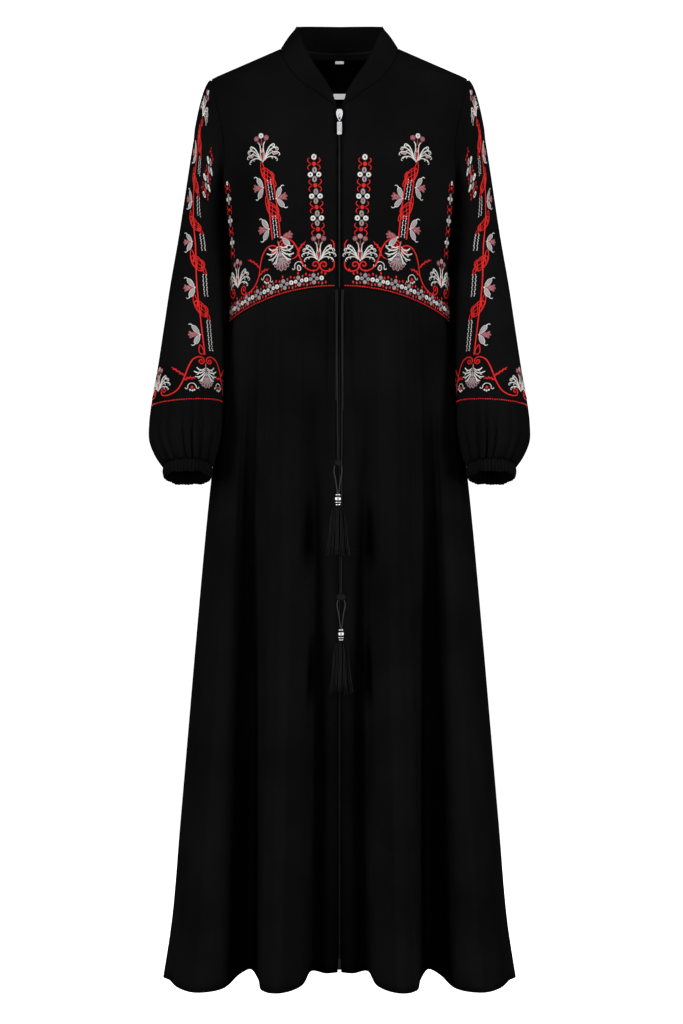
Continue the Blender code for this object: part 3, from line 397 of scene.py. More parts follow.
def add_cloth(node: str, faces: Sequence[Array], finish: Material,
              wrap: bool = False, name: str = "") -> None:
    """Args:
        node: the frame's node.
        faces: grids of the outer and the inner face.
        finish: its material.
        wrap: whether it is a tube, whose last column joins the first, or an open panel.
        name: name of the piece, where it isn't the node's with "_cloth".
    """
    name = name or node + "_cloth"
    mesh = shell_mesh(name, *faces, wrap)
    piece = add_piece(name, mesh, finish, stands_for=(node,))


def add_tubes(word: str, outer: Array, inner: Array, finish: Material) -> None:
    """Make a tube of cloth on both sides: the +X one as given and its mirror image."""
    for side in Side:
        faces = [mirrored(face) if side is Side.LEFT else face for face in (outer, inner)]
        add_cloth(f"{word}_{side.word}", faces, finish, wrap=True)


# ------------------------------------------------------------------ the cut


@dataclass(frozen=True)
class Section:
    """Half an ellipse of the torso at height z."""

    z: float
    half_width: float
    front: float
    back: float


@dataclass(frozen=True)
class CollarEdge:
    """Free edge of the collar against the share of the neckline walked."""

    share: float
    x: float
    y: float
    z: float


@dataclass(frozen=True)
class Crease:
    """A soft trough (depth below 0) or ridge between two places of a panel's plan."""

    start: tuple[float, float]
    end: tuple[float, float]
    width: float
    depth: float

    def height(self, u: Array, v: Array) -> Array:
        """Rise of the crease at plan places u, v: a bell across it, faded along it."""
        start, end = np.array(self.start), np.array(self.end)
        run = end - start
        share = ((u - start[0]) * run[0] + (v - start[1]) * run[1]) / (run @ run)
        held = np.clip(share, 0.0, 1.0)
        away = np.hypot(u - start[0] - held * run[0], v - start[1] - held * run[1])
        fade = 0.35 + 0.65 * np.sin(math.pi * held)
        return self.depth * fade * bell(away, self.width)


def creased(u: Array, v: Array, creases: Sequence[Crease]) -> Array:
    """Sum of the heights of several creases."""
    return sum((crease.height(u, v) for crease in creases), np.zeros(np.shape(u)))


@dataclass
class BodyForm:
    """The torso that the bodice is cut for: an ellipse at each height."""

    sections: tuple[Section, ...] = (
        Section(-0.430, 0.1662, 0.1110, 0.1035),
        Section(-0.404, 0.1660, 0.1112, 0.1040),
        Section(-0.350, 0.1665, 0.1135, 0.1060),
        Section(-0.290, 0.1690, 0.1230, 0.1130),
        Section(-0.235, 0.1760, 0.1270, 0.1190),
        Section(-0.180, 0.1830, 0.1220, 0.1220),
        Section(-0.120, 0.1890, 0.1090, 0.1200),
        Section(-0.070, 0.1922, 0.0950, 0.1120),
        Section(-0.035, 0.1930, 0.0840, 0.1000),
        Section(0.010, 0.0890, 0.0620, 0.0720),
        Section(0.030, 0.0430, 0.0520, 0.0600),
    )
    shoulder_tip: tuple[float, float] = (0.193, -0.035)
    neck_side: tuple[float, float] = (0.089, 0.010)
    underarm_z: float = -0.235
    seam_centre_z: float = -0.360
    seam_side_z: float = -0.404
    seam_curve: float = 2.2
    neck_back_z: float = 0.016
    side_full: float = 0.026
    full_from: float = math.radians(52.0)
    full_top: float = -0.236
    full_over: float = 0.030
    front_bite: float = math.radians(23.0)
    back_bite: float = math.radians(18.0)
    bite_round: float = 0.7
    neckline: tuple[tuple[float, float], ...] = (
        (0.0045, -0.0915), (0.0213, -0.0800), (0.0350, -0.0680), (0.0530, -0.0560),
        (0.0692, -0.0386), (0.0838, -0.0129), (0.0890, 0.0100),
    )

    def half_width(self, z: Array) -> Array:
        """Half-width at height z: straight along the shoulder, curved below it."""
        z = np.asarray(z, dtype=float)
        tip_x, tip_z = self.shoulder_tip
        neck_x, neck_z = self.neck_side
        body = [row for row in self.sections if row.z <= tip_z]
        below = smooth(*fields_of(body, "z", "half_width"), z)
        shoulder = tip_x + (neck_x - tip_x) / (neck_z - tip_z) * (z - tip_z)
        return np.where(z > tip_z, shoulder, below)

    def depth(self, z: Array, face: Face) -> Array:
        """Depth before or behind the side plane at height z."""
        column = "front" if face is Face.FRONT else "back"
        return smooth(*fields_of(self.sections, "z", column), z)

    def point(self, x: Array, z: Array, face: Face) -> Array:
        """Point of the surface seen at x, z of the front view, before any fullness."""
        reach = np.clip(np.abs(x) / self.half_width(z), 0.0, 1.0)
        y = self.depth(z, face) * np.sqrt(1.0 - reach ** 2)
        return spots(x, face.value * y, z)

    def fullness(self, turn: Array, z: Array) -> Array:
        """How far the loose back stands off its ellipse beside the side seam.

        Args:
            turn: way round from the centre back, 0 to a quarter turn at the side seam.
            z: height.

        Returns:
            A squared sine wave between full_from and the seam, faded out at the underarm.
        """
        share = np.clip((turn - self.full_from) / (math.pi / 2.0 - self.full_from), 0.0, 1.0)
        fade = np.clip((self.full_top - z) / self.full_over, 0.0, 1.0)
        return self.side_full * np.sin(math.pi * share) ** 2 * fade * fade * (3.0 - 2.0 * fade)

    def normals(self, points: Array, face: Face, step: float = 0.004) -> Array:
        """Outward normals of the ellipses, with their slope in z."""
        x, y, z = points[..., 0], points[..., 1], points[..., 2]
        a, b = self.half_width(z), self.depth(z, face)
        a_slope = (self.half_width(z + step) - self.half_width(z - step)) / (2.0 * step)
        b_slope = (self.depth(z + step, face) - self.depth(z - step, face)) / (2.0 * step)
        rise = -(x ** 2) * a_slope / a ** 3 - (y ** 2) * b_slope / b ** 3
        return unit(np.stack([x / a ** 2, y / b ** 2, rise], axis=-1))

    def warp(self, cols: int) -> Array:
        """Shares of a half panel's width, closer together towards the side."""
        return np.sin(np.linspace(0.0, math.pi / 2.0, cols + 1))

    def seam_z(self, angle: Array, face: Face) -> Array:
        """Height of the waist seam at an angle from the centre front."""
        if face is Face.BACK:
            return np.full_like(angle, self.seam_side_z)
        drop = np.abs(np.sin(angle)) ** self.seam_curve
        return self.seam_centre_z + (self.seam_side_z - self.seam_centre_z) * drop

    def armhole(self, face: Face, rows: int) -> Array:
        """Front-view points of the armhole, underarm to shoulder tip."""
        share = (1.0 - np.cos(np.linspace(0.0, math.pi, rows + 1))) / 2.0
        z = self.underarm_z + (self.shoulder_tip[1] - self.underarm_z) * share
        bite = self.front_bite if face is Face.FRONT else self.back_bite
        turned = bite * np.sin(math.pi * share) ** self.bite_round
        return spots(self.half_width(z) * np.cos(turned), z)

    def neck(self, face: Face, cols: int) -> Array:
        """Front-view points of the neckline, centre to side."""
        warp = self.warp(cols)
        if face is Face.BACK:
            rise = (self.neck_back_z - self.neck_side[1]) * (1.0 - warp ** 2)
            return spots(self.neck_side[0] * warp, self.neck_side[1] + rise)
        share = np.linspace(0.0, 1.0, 200)
        knots = np.linspace(0.0, 1.0, len(self.neckline))
        table = np.array(self.neckline)
        x, z = (smooth(knots, table[:, k], share) for k in range(2))
        way = walked(self.point(x, z, face))
        want = warp * way[-1]
        return spots(np.interp(want, way, x), np.interp(want, way, z))


BODICE_CREASES = (
    Crease((0.150, -0.215), (0.085, -0.255), 0.016, -0.0022),
    Crease((0.158, -0.250), (0.105, -0.300), 0.018, 0.0016),
    Crease((0.150, -0.290), (0.112, -0.372), 0.013, -0.0016),
    Crease((0.160, -0.130), (0.122, -0.190), 0.015, -0.0020),
    Crease((0.128, -0.075), (0.098, -0.175), 0.020, 0.0014),
    Crease((0.060, -0.300), (0.052, -0.358), 0.012, -0.0012),
    Crease((0.090, -0.290), (0.084, -0.366), 0.011, 0.0012),
    Crease((0.030, -0.285), (0.026, -0.356), 0.010, -0.0009),
)
BACK_CREASES = (
    Crease((0.150, -0.150), (0.080, -0.215), 0.018, -0.0026),
    Crease((0.152, -0.225), (0.070, -0.285), 0.018, -0.0022),
    Crease((0.120, -0.290), (0.108, -0.400), 0.013, 0.0018),
    Crease((0.070, -0.300), (0.064, -0.400), 0.012, -0.0018),
    Crease((0.028, -0.310), (0.026, -0.400), 0.012, 0.0014),
    Crease((0.100, -0.060), (0.055, -0.130), 0.020, -0.0016),
)


@dataclass
class Bodice:
    """Two fronts and a one-piece back above the waist seam."""

    form: BodyForm
    side_rows: int = 14
    armhole_rows: int = 56
    shoulder_rows: int = 16
    cols: int = 60
    front_area: float = 0.084
    back_area: float = 0.200

    def boundary(self, face: Face) -> Array:
        """Side seam, armhole and shoulder seam of a half panel, bottom up."""
        form = self.form
        z = np.linspace(form.seam_side_z, form.underarm_z, self.side_rows + 1)[:-1]
        side = spots(form.half_width(z), z)
        shoulder = np.linspace(form.shoulder_tip, form.neck_side, self.shoulder_rows + 1)[1:]
        return np.concatenate([side, form.armhole(face, self.armhole_rows), shoulder])

    def half_panel(self, face: Face) -> Array:
        """Grid of the +X half, rows bottom up: in the front view, a Coons patch of its edges."""
        form = self.form
        start = EDGE_HALF if face is Face.FRONT else 0.0
        right, top = self.boundary(face), form.neck(face, self.cols)
        rows = len(right)
        across = form.warp(self.cols)
        wide = float(form.half_width(np.array(form.seam_side_z)))
        bottom_x = start + (wide - start) * across
        angle = np.arcsin(np.clip(bottom_x / wide, 0.0, 1.0))
        bottom = spots(bottom_x, form.seam_z(angle, face))
        up = np.linspace(0.0, 1.0, rows)
        left = spots(start, bottom[0, 1] + (top[0, 1] - bottom[0, 1]) * up)
        s, t = across[None, :, None], up[:, None, None]
        flat = (1 - s) * left[:, None] + s * right[:, None] + (1 - t) * bottom[None] + t * top[None]
        flat -= (1 - s) * (1 - t) * bottom[0] + s * (1 - t) * bottom[-1]
        flat -= (1 - s) * t * top[0] + s * t * top[-1]
        return self.surface(flat[..., 0], flat[..., 1], face)

    def surface(self, x: Array, z: Array, face: Face) -> Array:
        """The body form at x, z of the front view, with its creases raised along the normals."""
        plain = self.form.point(x, z, face)
        rise = creased(x, z, BODICE_CREASES if face is Face.FRONT else BACK_CREASES)
        if face is Face.BACK:
            turn = np.arcsin(np.clip(np.abs(x) / self.form.half_width(z), 0.0, 1.0))
            rise = rise + self.form.fullness(turn, z)
        return plain + rise[..., None] * self.form.normals(plain, face)

    def build(self, finish: Material) -> None:
        """Make the two fronts and the back."""
        half = self.half_panel(Face.FRONT)[::-1]
        for side in Side:
            grid = half if side is Side.RIGHT else mirrored(half)[:, ::-1]
            grid = rolled(grid, ("bottom", side.word))
            add_cloth(f"bodice_front_{side.word}", (grid, inside(grid)), finish)
        half = self.half_panel(Face.BACK)[::-1]
        whole = np.concatenate([mirrored(half)[:, :0:-1], half], axis=1)
        grid = rolled(whole, ("bottom", "left", "right"))
        add_cloth("bodice_back", (grid, inside(grid)), finish)


@dataclass
class Collar:
    """Stand collar that opens in a V."""

    form: BodyForm
    cols: int = 60
    rows: int = 16
    belly: float = 0.0018
    doubled: float = 1.3 * CLOTH
    allowance: tuple[float, float, float] = (0.0080, 0.0024, 0.0017)
    allowance_thick: float = 0.5 * CLOTH
    edge: tuple[CollarEdge, ...] = (
        CollarEdge(0.00, 0.0095, -0.0985, -0.0720),
        CollarEdge(0.11, 0.0190, -0.0930, -0.0545),
        CollarEdge(0.21, 0.0270, -0.0860, -0.0415),
        CollarEdge(0.33, 0.0350, -0.0780, -0.0290),
        CollarEdge(0.47, 0.0430, -0.0670, -0.0140),
        CollarEdge(0.67, 0.0530, -0.0480, 0.0090),
        CollarEdge(0.83, 0.0600, -0.0300, 0.0290),
        CollarEdge(1.00, 0.0645, -0.0080, 0.0430),
        CollarEdge(1.25, 0.0630, 0.0200, 0.0495),
        CollarEdge(1.50, 0.0500, 0.0420, 0.0545),
        CollarEdge(1.75, 0.0270, 0.0570, 0.0575),
        CollarEdge(2.00, 0.0000, 0.0610, 0.0580),
    )

    def seam(self) -> Array:
        """The whole neckline, left front round the back to the right front."""
        front, back = (self.form.point(*self.form.neck(face, self.cols).T, face) for face in Face)
        return np.concatenate([mirrored(front), mirrored(back)[-2::-1], back[1:], front[-2::-1]])

    def grid(self) -> Array:
        """Ruled from the free edge down to the seam, with a soft belly between."""
        warp = self.form.warp(self.cols)
        share = np.concatenate([warp, 2.0 - warp[-2::-1]])
        knots = fields_of(self.edge, "share")[0]
        half = np.stack([smooth(knots, fields_of(self.edge, c)[0], share) for c in "xyz"], axis=-1)
        edge = np.concatenate([mirrored(half), half[-2::-1]])
        down = np.linspace(0.0, 1.0, self.rows)[:, None, None]
        ruled = edge + (self.seam() - edge) * down
        return ruled + self.belly * np.sin(math.pi * down) * grid_normals(ruled, False)

    def build(self, finish: Material) -> None:
        """Make the collar, and the turned-in edge behind the neck seam inside its foot."""
        plain = self.grid()
        grid = rolled(plain, ("bottom",))
        faces = (grid, inside(grid, thick=self.doubled))
        add_cloth("collar", faces, finish)
        over, under, deep = self.allowance
        foot, down = plain[-1], unit(plain[-1] - plain[-3])
        run = np.linspace(-over, under, 5)[:, None, None]
        strip = foot - deep * grid_normals(plain, False)[-2] + run * down
        faces = (strip, inside(strip, thick=self.allowance_thick))
        add_cloth("collar", faces, finish, name="neck_allowance")


@dataclass(frozen=True)
class Fold:
    """A crest or valley line of the skirt, from the waist seam to the hem."""

    angle: float
    x: float
    y: float
    z: float
    swell: float
    cols: int

    def seen_from(self, turn: float) -> Fold:
        """The same fold on the other side, its angle told back from a turn."""
        return Fold(turn - self.angle, -self.x, self.y, self.z, self.swell, self.cols)


@dataclass
class Skirt:
    """Two fronts and a one-piece back that flare in folds from the waist seam."""

    form: BodyForm
    finer: int = 4
    rows: int = 84
    front_area: float = 0.360
    back_area: float = 0.660
    folds: tuple[Fold, ...] = (
        Fold(0.0, 0.0000, -0.080, -1.370, 1.0, 2),
        Fold(6.0, 0.0200, -0.083, -1.371, 1.0, 3),
        Fold(12.0, 0.0420, -0.066, -1.371, 0.9, 3),
        Fold(19.0, 0.0550, -0.128, -1.380, 1.0, 3),
        Fold(26.0, 0.0840, -0.166, -1.383, 1.2, 3),
        Fold(34.0, 0.1120, -0.150, -1.383, 1.0, 3),
        Fold(40.0, 0.1200, -0.088, -1.379, 0.9, 3),
        Fold(45.0, 0.1330, -0.036, -1.374, 0.9, 3),
        Fold(51.0, 0.1500, -0.060, -1.378, 0.9, 3),
        Fold(58.0, 0.1700, -0.118, -1.386, 1.0, 3),
        Fold(67.0, 0.2060, -0.134, -1.389, 1.2, 3),
        Fold(76.0, 0.2350, -0.104, -1.389, 1.0, 3),
        Fold(84.0, 0.2530, -0.046, -1.389, 1.0, 3),
        Fold(92.0, 0.2640, 0.008, -1.390, 1.3, 4),
        Fold(104.0, 0.2060, 0.050, -1.382, 0.7, 4),
        Fold(117.0, 0.2120, 0.118, -1.386, 1.6, 4),
        Fold(131.0, 0.1500, 0.094, -1.380, 0.7, 4),
        Fold(146.0, 0.1200, 0.170, -1.386, 1.6, 4),
        Fold(160.0, 0.0700, 0.112, -1.380, 0.7, 3),
        Fold(170.0, 0.0380, 0.158, -1.385, 1.2, 3),
        Fold(180.0, 0.0000, 0.176, -1.386, 1.3, 3),
    )
    side_fold: int = 13
    spread: tuple[tuple[float, float], ...] = (
        (0.00, 0.00), (0.26, 0.30), (0.51, 0.53), (0.78, 0.77), (0.93, 0.90), (1.00, 1.00),
    )
    creases: tuple[Crease, ...] = (
        Crease((0.8, 0.00), (1.0, 0.30), 0.20, -0.0016),
        Crease((3.0, 0.02), (3.4, 0.42), 0.16, 0.0018),
        Crease((4.8, 0.05), (4.5, 0.60), 0.18, -0.0020),
        Crease((5.8, 0.00), (5.9, 0.36), 0.20, 0.0020),
        Crease((7.2, 0.04), (7.1, 0.48), 0.18, -0.0018),
        Crease((8.6, 0.00), (9.0, 0.55), 0.20, -0.0022),
        Crease((10.6, 0.03), (10.4, 0.40), 0.18, 0.0020),
        Crease((11.4, 0.10), (11.5, 0.62), 0.18, -0.0020),
        Crease((13.6, 0.04), (13.4, 0.52), 0.22, -0.0026),
        Crease((14.6, 0.00), (14.8, 0.46), 0.20, 0.0022),
        Crease((15.7, 0.06), (15.5, 0.56), 0.22, -0.0024),
        Crease((17.4, 0.02), (17.2, 0.50), 0.20, 0.0022),
        Crease((18.6, 0.00), (18.7, 0.44), 0.20, -0.0022),
        Crease((3.8, 0.55), (4.1, 0.98), 0.14, 0.0024),
        Crease((4.7, 0.70), (4.9, 1.00), 0.16, -0.0022),
        Crease((9.8, 0.60), (10.2, 0.99), 0.16, 0.0022),
        Crease((12.6, 0.58), (12.8, 0.98), 0.20, -0.0026),
        Crease((16.4, 0.60), (16.7, 0.98), 0.20, -0.0026),
    )

    def columns(self) -> tuple[Array, Array, Array, int]:
        """Seam angle, hem point and place in the fold table of each column.

        The columns run from the centre front over +X right round to the front again,
        each read from a smooth curve through the fold table.
        """
        before = [fold.seen_from(0.0) for fold in self.folds[3:0:-1]]
        after = [fold.seen_from(360.0) for fold in self.folds[-2:-5:-1]]
        rows = before + list(self.folds) + after
        index = np.arange(len(rows), dtype=float) - len(before)
        steps = [k + np.arange(fold.cols * self.finer) / (fold.cols * self.finer)
                 for k, fold in enumerate(self.folds[:-1])]
        places = np.concatenate(steps + [[len(self.folds) - 1.0]])
        angle, swell = fields_of(rows, "angle", "swell")
        turn = np.radians(smooth(index, angle, places))
        hem = np.stack([smooth(index, fields_of(rows, c)[0], places, swell) for c in "xyz"], axis=-1)
        side = int(np.argmin(np.abs(places - self.side_fold)))
        turn = np.concatenate([turn, 2.0 * math.pi - turn[-2::-1]])
        hem = np.concatenate([hem, mirrored(hem)[-2::-1]])
        return turn, hem, np.concatenate([places, places[-2::-1]]), side

    def grid(self) -> tuple[Array, int]:
        """Fold lines from the seam to the hem, spread by the table, with small creases."""
        turn, hem, places, side = self.columns()
        folded = np.minimum(turn % (2.0 * math.pi), 2.0 * math.pi - turn % (2.0 * math.pi))
        before = folded <= math.pi / 2.0
        seam_z = np.where(before, self.form.seam_z(folded, Face.FRONT), self.form.seam_side_z)
        deep = np.where(before, *(self.form.depth(seam_z, face) for face in Face))
        wide = self.form.half_width(seam_z)
        seam = spots(wide * np.sin(turn), -deep * np.cos(turn), seam_z)
        full = np.where(before, 0.0, self.form.fullness(math.pi - folded, seam_z))
        away = unit(seam * [1.0, 1.0, 0.0] / spots(wide, deep, deep) ** 2)
        seam = seam + full[:, None] * away
        down = np.linspace(0.0, 1.0, self.rows) ** 1.08
        out = smooth(*np.array(self.spread).T, down)
        share = spots(out, out, down)[:, None, :]
        plain = seam[None] + share * (hem - seam)[None]
        u, v = np.meshgrid(places, down)
        rise = creased(u, v, self.creases)
        return plain + rise[..., None] * grid_normals(plain, False), side

    def build(self, finish: Material) -> None:
        """Make the two fronts and the back."""
        grid, side = self.grid()
        last = grid.shape[1] - 1
        right = grid[:, :side + 1].copy()
        right[:, 0, 0] = EDGE_HALF
        left = grid[:, last - side:].copy()
        left[:, -1, 0] = -EDGE_HALF
        back = grid[:, side:last - side + 1]
        for word, part, seams, width, area in (
                ("front_right", right, ("top", "right"), 0.50, self.front_area),
                ("front_left", left, ("top", "left"), 0.50, self.front_area),
                ("back", back, ("top", "left", "right"), 0.88, self.back_area)):
            part = rolled(part, seams)
            add_cloth("skirt_" + word, (part, inside(part)), finish)


@dataclass(frozen=True)
class Ring:
    """A tilted ellipse of the sleeve's tube."""

    z: float
    x_in: float
    x_out: float
    y: float
    half_depth: float
    tilt: float


@dataclass
class Sleeve:
    """Bishop sleeve: set-in head, straight arm and a full end gathered into a cuff."""

    form: BodyForm
    cols: int = 208
    head_rows: int = 16
    tube_rows: int = 66
    head_rise: float = 0.068
    head_under: float = 0.002
    head_tilt: float = 1.2
    seam_gap: float = 0.0004
    area: float = 0.172
    rings: tuple[Ring, ...] = (
        Ring(-0.290, 0.1705, 0.2460, 0.000, 0.057, 2.0),
        Ring(-0.350, 0.1715, 0.2560, -0.006, 0.057, 4.0),
        Ring(-0.410, 0.1725, 0.2640, -0.018, 0.055, 6.0),
        Ring(-0.470, 0.1740, 0.2715, -0.036, 0.054, 8.0),
        Ring(-0.525, 0.1750, 0.2790, -0.054, 0.054, 9.0),
        Ring(-0.560, 0.1760, 0.2807, -0.066, 0.053, 12.0),
        Ring(-0.585, 0.1795, 0.2785, -0.074, 0.050, 14.0),
        Ring(-0.607, 0.1845, 0.2690, -0.081, 0.042, 16.0),
        Ring(-0.621, 0.1890, 0.2590, -0.085, 0.033, 18.0),
    )
    gather_top: float = -0.505
    gather_end: float = -0.621
    gather_folds: int = 17
    gather_deep: float = 0.0115
    pucker_top: float = -0.585
    puckers: int = 42
    pucker_deep: float = 0.0012
    creases: tuple[Crease, ...] = (
        Crease((0.9, -0.30), (2.3, -0.345), 0.10, -0.0018),
        Crease((1.0, -0.35), (2.6, -0.330), 0.09, 0.0016),
        Crease((2.9, -0.29), (1.9, -0.385), 0.10, -0.0016),
        Crease((0.4, -0.41), (1.6, -0.450), 0.10, 0.0014),
        Crease((3.4, -0.36), (4.6, -0.325), 0.12, -0.0024),
        Crease((3.6, -0.43), (5.0, -0.390), 0.12, -0.0020),
        Crease((3.2, -0.25), (4.4, -0.285), 0.12, 0.0020),
        Crease((5.3, -0.47), (6.1, -0.350), 0.12, -0.0016),
    )

    def armhole(self) -> tuple[Array, Array]:
        """Points of the +X armhole from the shoulder tip down the front, and the way out."""
        half = self.cols // 2
        edges = {face: self.form.point(*self.form.armhole(face, half).T, face) for face in Face}
        ring = np.concatenate([edges[Face.FRONT][::-1], edges[Face.BACK][1:-1]])
        normals = np.concatenate([self.form.normals(edges[Face.FRONT][::-1], Face.FRONT),
                                  self.form.normals(edges[Face.BACK][1:-1], Face.BACK)])
        along = unit(np.roll(ring, -1, axis=0) - np.roll(ring, 1, axis=0))
        away = unit(np.cross(along, normals))
        return ring, away * np.sign(away[0, 0])

    def ring(self, z: Array) -> Array:
        """Rings of the tube at heights z of its axis: tilted ellipses, outer side first."""
        knots = -fields_of(self.rings, "z")[0]
        read = {name: smooth(knots, fields_of(self.rings, name)[0], -z)[:, None]
                for name in ("x_in", "x_out", "y", "half_depth", "tilt")}
        turn = full_turn(self.cols)[None]
        tilt = np.radians(read["tilt"])
        reach = (read["x_out"] - read["x_in"]) / 2.0
        fore = read["half_depth"] * np.sin(turn)
        x = (read["x_in"] + read["x_out"]) / 2.0 + reach * np.cos(turn)
        y = read["y"] - fore * np.cos(tilt)
        return spots(x, y, z[:, None] + fore * np.sin(tilt))

    def gathers(self, turn: Array, z: Array) -> Array:
        """Folds that grow towards the cuff: ridges between narrow valleys, of uneven width."""
        grow = np.clip((self.gather_top - z) / (self.gather_top - self.gather_end), 0.0, 1.0)
        bent = turn + 0.07 * np.sin(3.0 * turn + 0.8) + 0.05 * np.sin(7.0 * turn)
        fold = np.abs(np.sin(self.gather_folds * bent / 2.0)) ** 0.7 - 0.62
        uneven = 1.0 + 0.35 * np.sin(2.0 * turn + 1.9) * np.cos(5.0 * turn)
        tight = np.clip((self.pucker_top - z) / (self.pucker_top - self.gather_end), 0.0, 1.0)
        small = np.abs(np.sin(self.puckers * (turn + 0.02 * np.sin(9.0 * turn)) / 2.0)) - 0.62
        return (self.gather_deep * grow ** 1.4 * fold * uneven * (1.0 - 0.55 * tight)
                + self.pucker_deep * tight ** 1.2 * small)

    def grid(self) -> Array:
        """The whole +X sleeve from the armhole to the cuff seam.

        The head is a cubic from the armhole's edge to the first ring of the tube, pulled
        outwards at its start. The tube's rings follow the table, and creases and gathers
        rise along the normals.
        """
        start, away = self.armhole()
        turn = full_turn(self.cols)
        top = self.rings[0].z
        first, second = self.ring(np.array([top, top - 0.01]))
        begin = start + self.seam_gap * away
        pull = self.head_under + (self.head_rise - self.head_under) * (1.0 + np.cos(turn)) / 2.0
        leave = unit(away + np.array([self.head_tilt, 0.0, 0.0])) * pull[:, None]
        arrive = unit(second - first) * np.linalg.norm(first - begin, axis=1, keepdims=True)
        u = (np.linspace(0.0, 1.0, self.head_rows + 1)[:-1] ** 1.25)[:, None, None]
        head = (begin + u * u * (3.0 - 2.0 * u) * (first - begin) + u * (1 - u) ** 2 * leave
                - u * u * (1 - u) * arrive)
        z = np.linspace(top, self.rings[-1].z, self.tube_rows)
        plain = np.concatenate([head, self.ring(z)])
        height = np.concatenate([np.full(self.head_rows, top), z])
        height = height[:, None] * np.ones((1, self.cols))
        around = np.broadcast_to(turn, height.shape)
        rise = creased(around, plain[..., 2], self.creases) + self.gathers(around, height)
        return plain + rise[..., None] * grid_normals(plain, True)

    def build(self, finish: Material) -> None:
        """Make both sleeves."""
        grid = self.grid()
        normals = grid_normals(grid, True)
        grid[0] -= SEAM_SINK * normals[0]
        add_tubes("sleeve", grid, grid - CLOTH * normals, finish)


@dataclass
class Cuff:
    """Elastic end of the sleeve: narrow ribs between gathered edges."""

    sleeve: Sleeve
    length: float = 0.0190
    ribs: int = 42
    rib_deep: float = 0.0021
    bulge: float = 0.0018
    draw: float = 0.0010
    tuck: float = 0.0026
    cols: int = 336
    rows: int = 16

    def grid(self) -> Array:
        """Rings from just inside the sleeve's end down: ribbed, swelling and then drawn in."""
        last = self.sleeve.rings[-1]
        tilt = math.radians(last.tilt)
        down = np.array([0.0, -math.sin(tilt), -math.cos(tilt)])
        forward = np.array([0.0, -math.cos(tilt), math.sin(tilt)])
        turn = full_turn(self.cols)
        share = np.linspace(-self.tuck / self.length, 1.0, self.rows)[:, None]
        wobble = turn + 0.02 * np.sin(9.0 * turn)
        rib = np.abs(np.sin(self.ribs * wobble / 2.0)) - 0.62
        flutter = 0.0008 * np.sin(5.0 * turn + 0.6) + 0.0005 * np.sin(11.0 * turn)
        swell = (self.rib_deep * rib * (1.0 + 0.25 * share) + self.bulge * np.sin(math.pi * share)
                 - self.draw * share)
        reach = (last.x_out - last.x_in) / 2.0 + swell
        fore = last.half_depth + swell
        middle = np.array([(last.x_in + last.x_out) / 2.0, last.y, last.z])
        ring = middle + (share * self.length + flutter * share ** 2)[..., None] * down
        ring = ring + (reach * np.cos(turn))[..., None] * np.array([1.0, 0.0, 0.0])
        return ring + (fore * np.sin(turn))[..., None] * forward

    def build(self, finish: Material) -> None:
        """Make both cuffs."""
        grid = self.grid()
        add_tubes("cuff", grid, inside(grid, True), finish)


# ------------------------------------------------------------------ swept and turned pieces


def sweep(path: Array, radius: float, sides: int, across: Sequence[float] = (1.0, 0.0, 0.0),
          lobes: int = 0, lobe_deep: float = 0.0, lobe_pitch: float = 1.0,
          closed: bool = False) -> Solid:
    """Points and faces of a round section carried along a path.

    Each ring is the path's point plus radius times the cosine and sine of the turn in
    two directions square to the path. A twisted cord has lobes whose turn grows with
    the way gone.

    Args:
        path: shape (n, 3).
        radius: radius of the section.
        sides: points of a ring.
        across: a direction that is never along the path.
        lobes: strands of a twisted cord, or none.
        lobe_deep: depth of the grooves between the strands.
        lobe_pitch: length of one full twist.
        closed: whether the path ends where it starts.

    Returns:
        Points, quads and tris.
    """
    if closed:
        along = unit(np.roll(path, -1, axis=0) - np.roll(path, 1, axis=0))
    else:
        along = unit(np.gradient(path, axis=0))
    first = unit(np.cross(along, np.broadcast_to(np.array(across), along.shape)))
    second = np.cross(along, first)
    turn = full_turn(sides)
    reach = np.full((len(path), sides), radius)
    if lobes:
        twist = walked(path)[:, None] * 2.0 * math.pi / lobe_pitch
        reach = reach - lobe_deep * (1.0 - np.abs(np.cos(lobes * (turn - twist) / 2.0)))
    ring = path[:, None] + (reach * np.cos(turn))[..., None] * first[:, None]
    ring = ring + (reach * np.sin(turn))[..., None] * second[:, None]
    if not closed:
        return capped(ring, path[[0, -1]])
    edge = np.arange(sides)
    ahead = (edge + 1) % sides
    last = (len(path) - 1) * sides
    joint = np.stack([last + edge, last + ahead, ahead, edge], axis=-1)
    quads = np.concatenate([grid_quads(len(path), sides, True), joint])
    return ring.reshape(-1, 3), quads, NO_TRIS


def joined(parts: Iterable[Solid]) -> Solid:
    """Several solids as one, with their corner indices moved on."""
    points, quads, tris = [], [], []
    base = 0
    for some, four, three in parts:
        points.append(some)
        quads.append(four.reshape(-1, 4) + base)
        tris.append(three.reshape(-1, 3) + base)
        base += len(some)
    return np.concatenate(points), np.concatenate(quads), np.concatenate(tris)


def turned(centre: Sequence[float], profile: Array, sides: int) -> Solid:
    """A profile of (radius, z) pairs turned about the vertical axis through centre."""
    turn = full_turn(sides)
    rings = spots(centre[0] + profile[:, :1] * np.cos(turn),
                  centre[1] + profile[:, :1] * np.sin(turn), profile[:, 1:])
    return capped(rings, spots(*centre, profile[[0, -1], 1]))


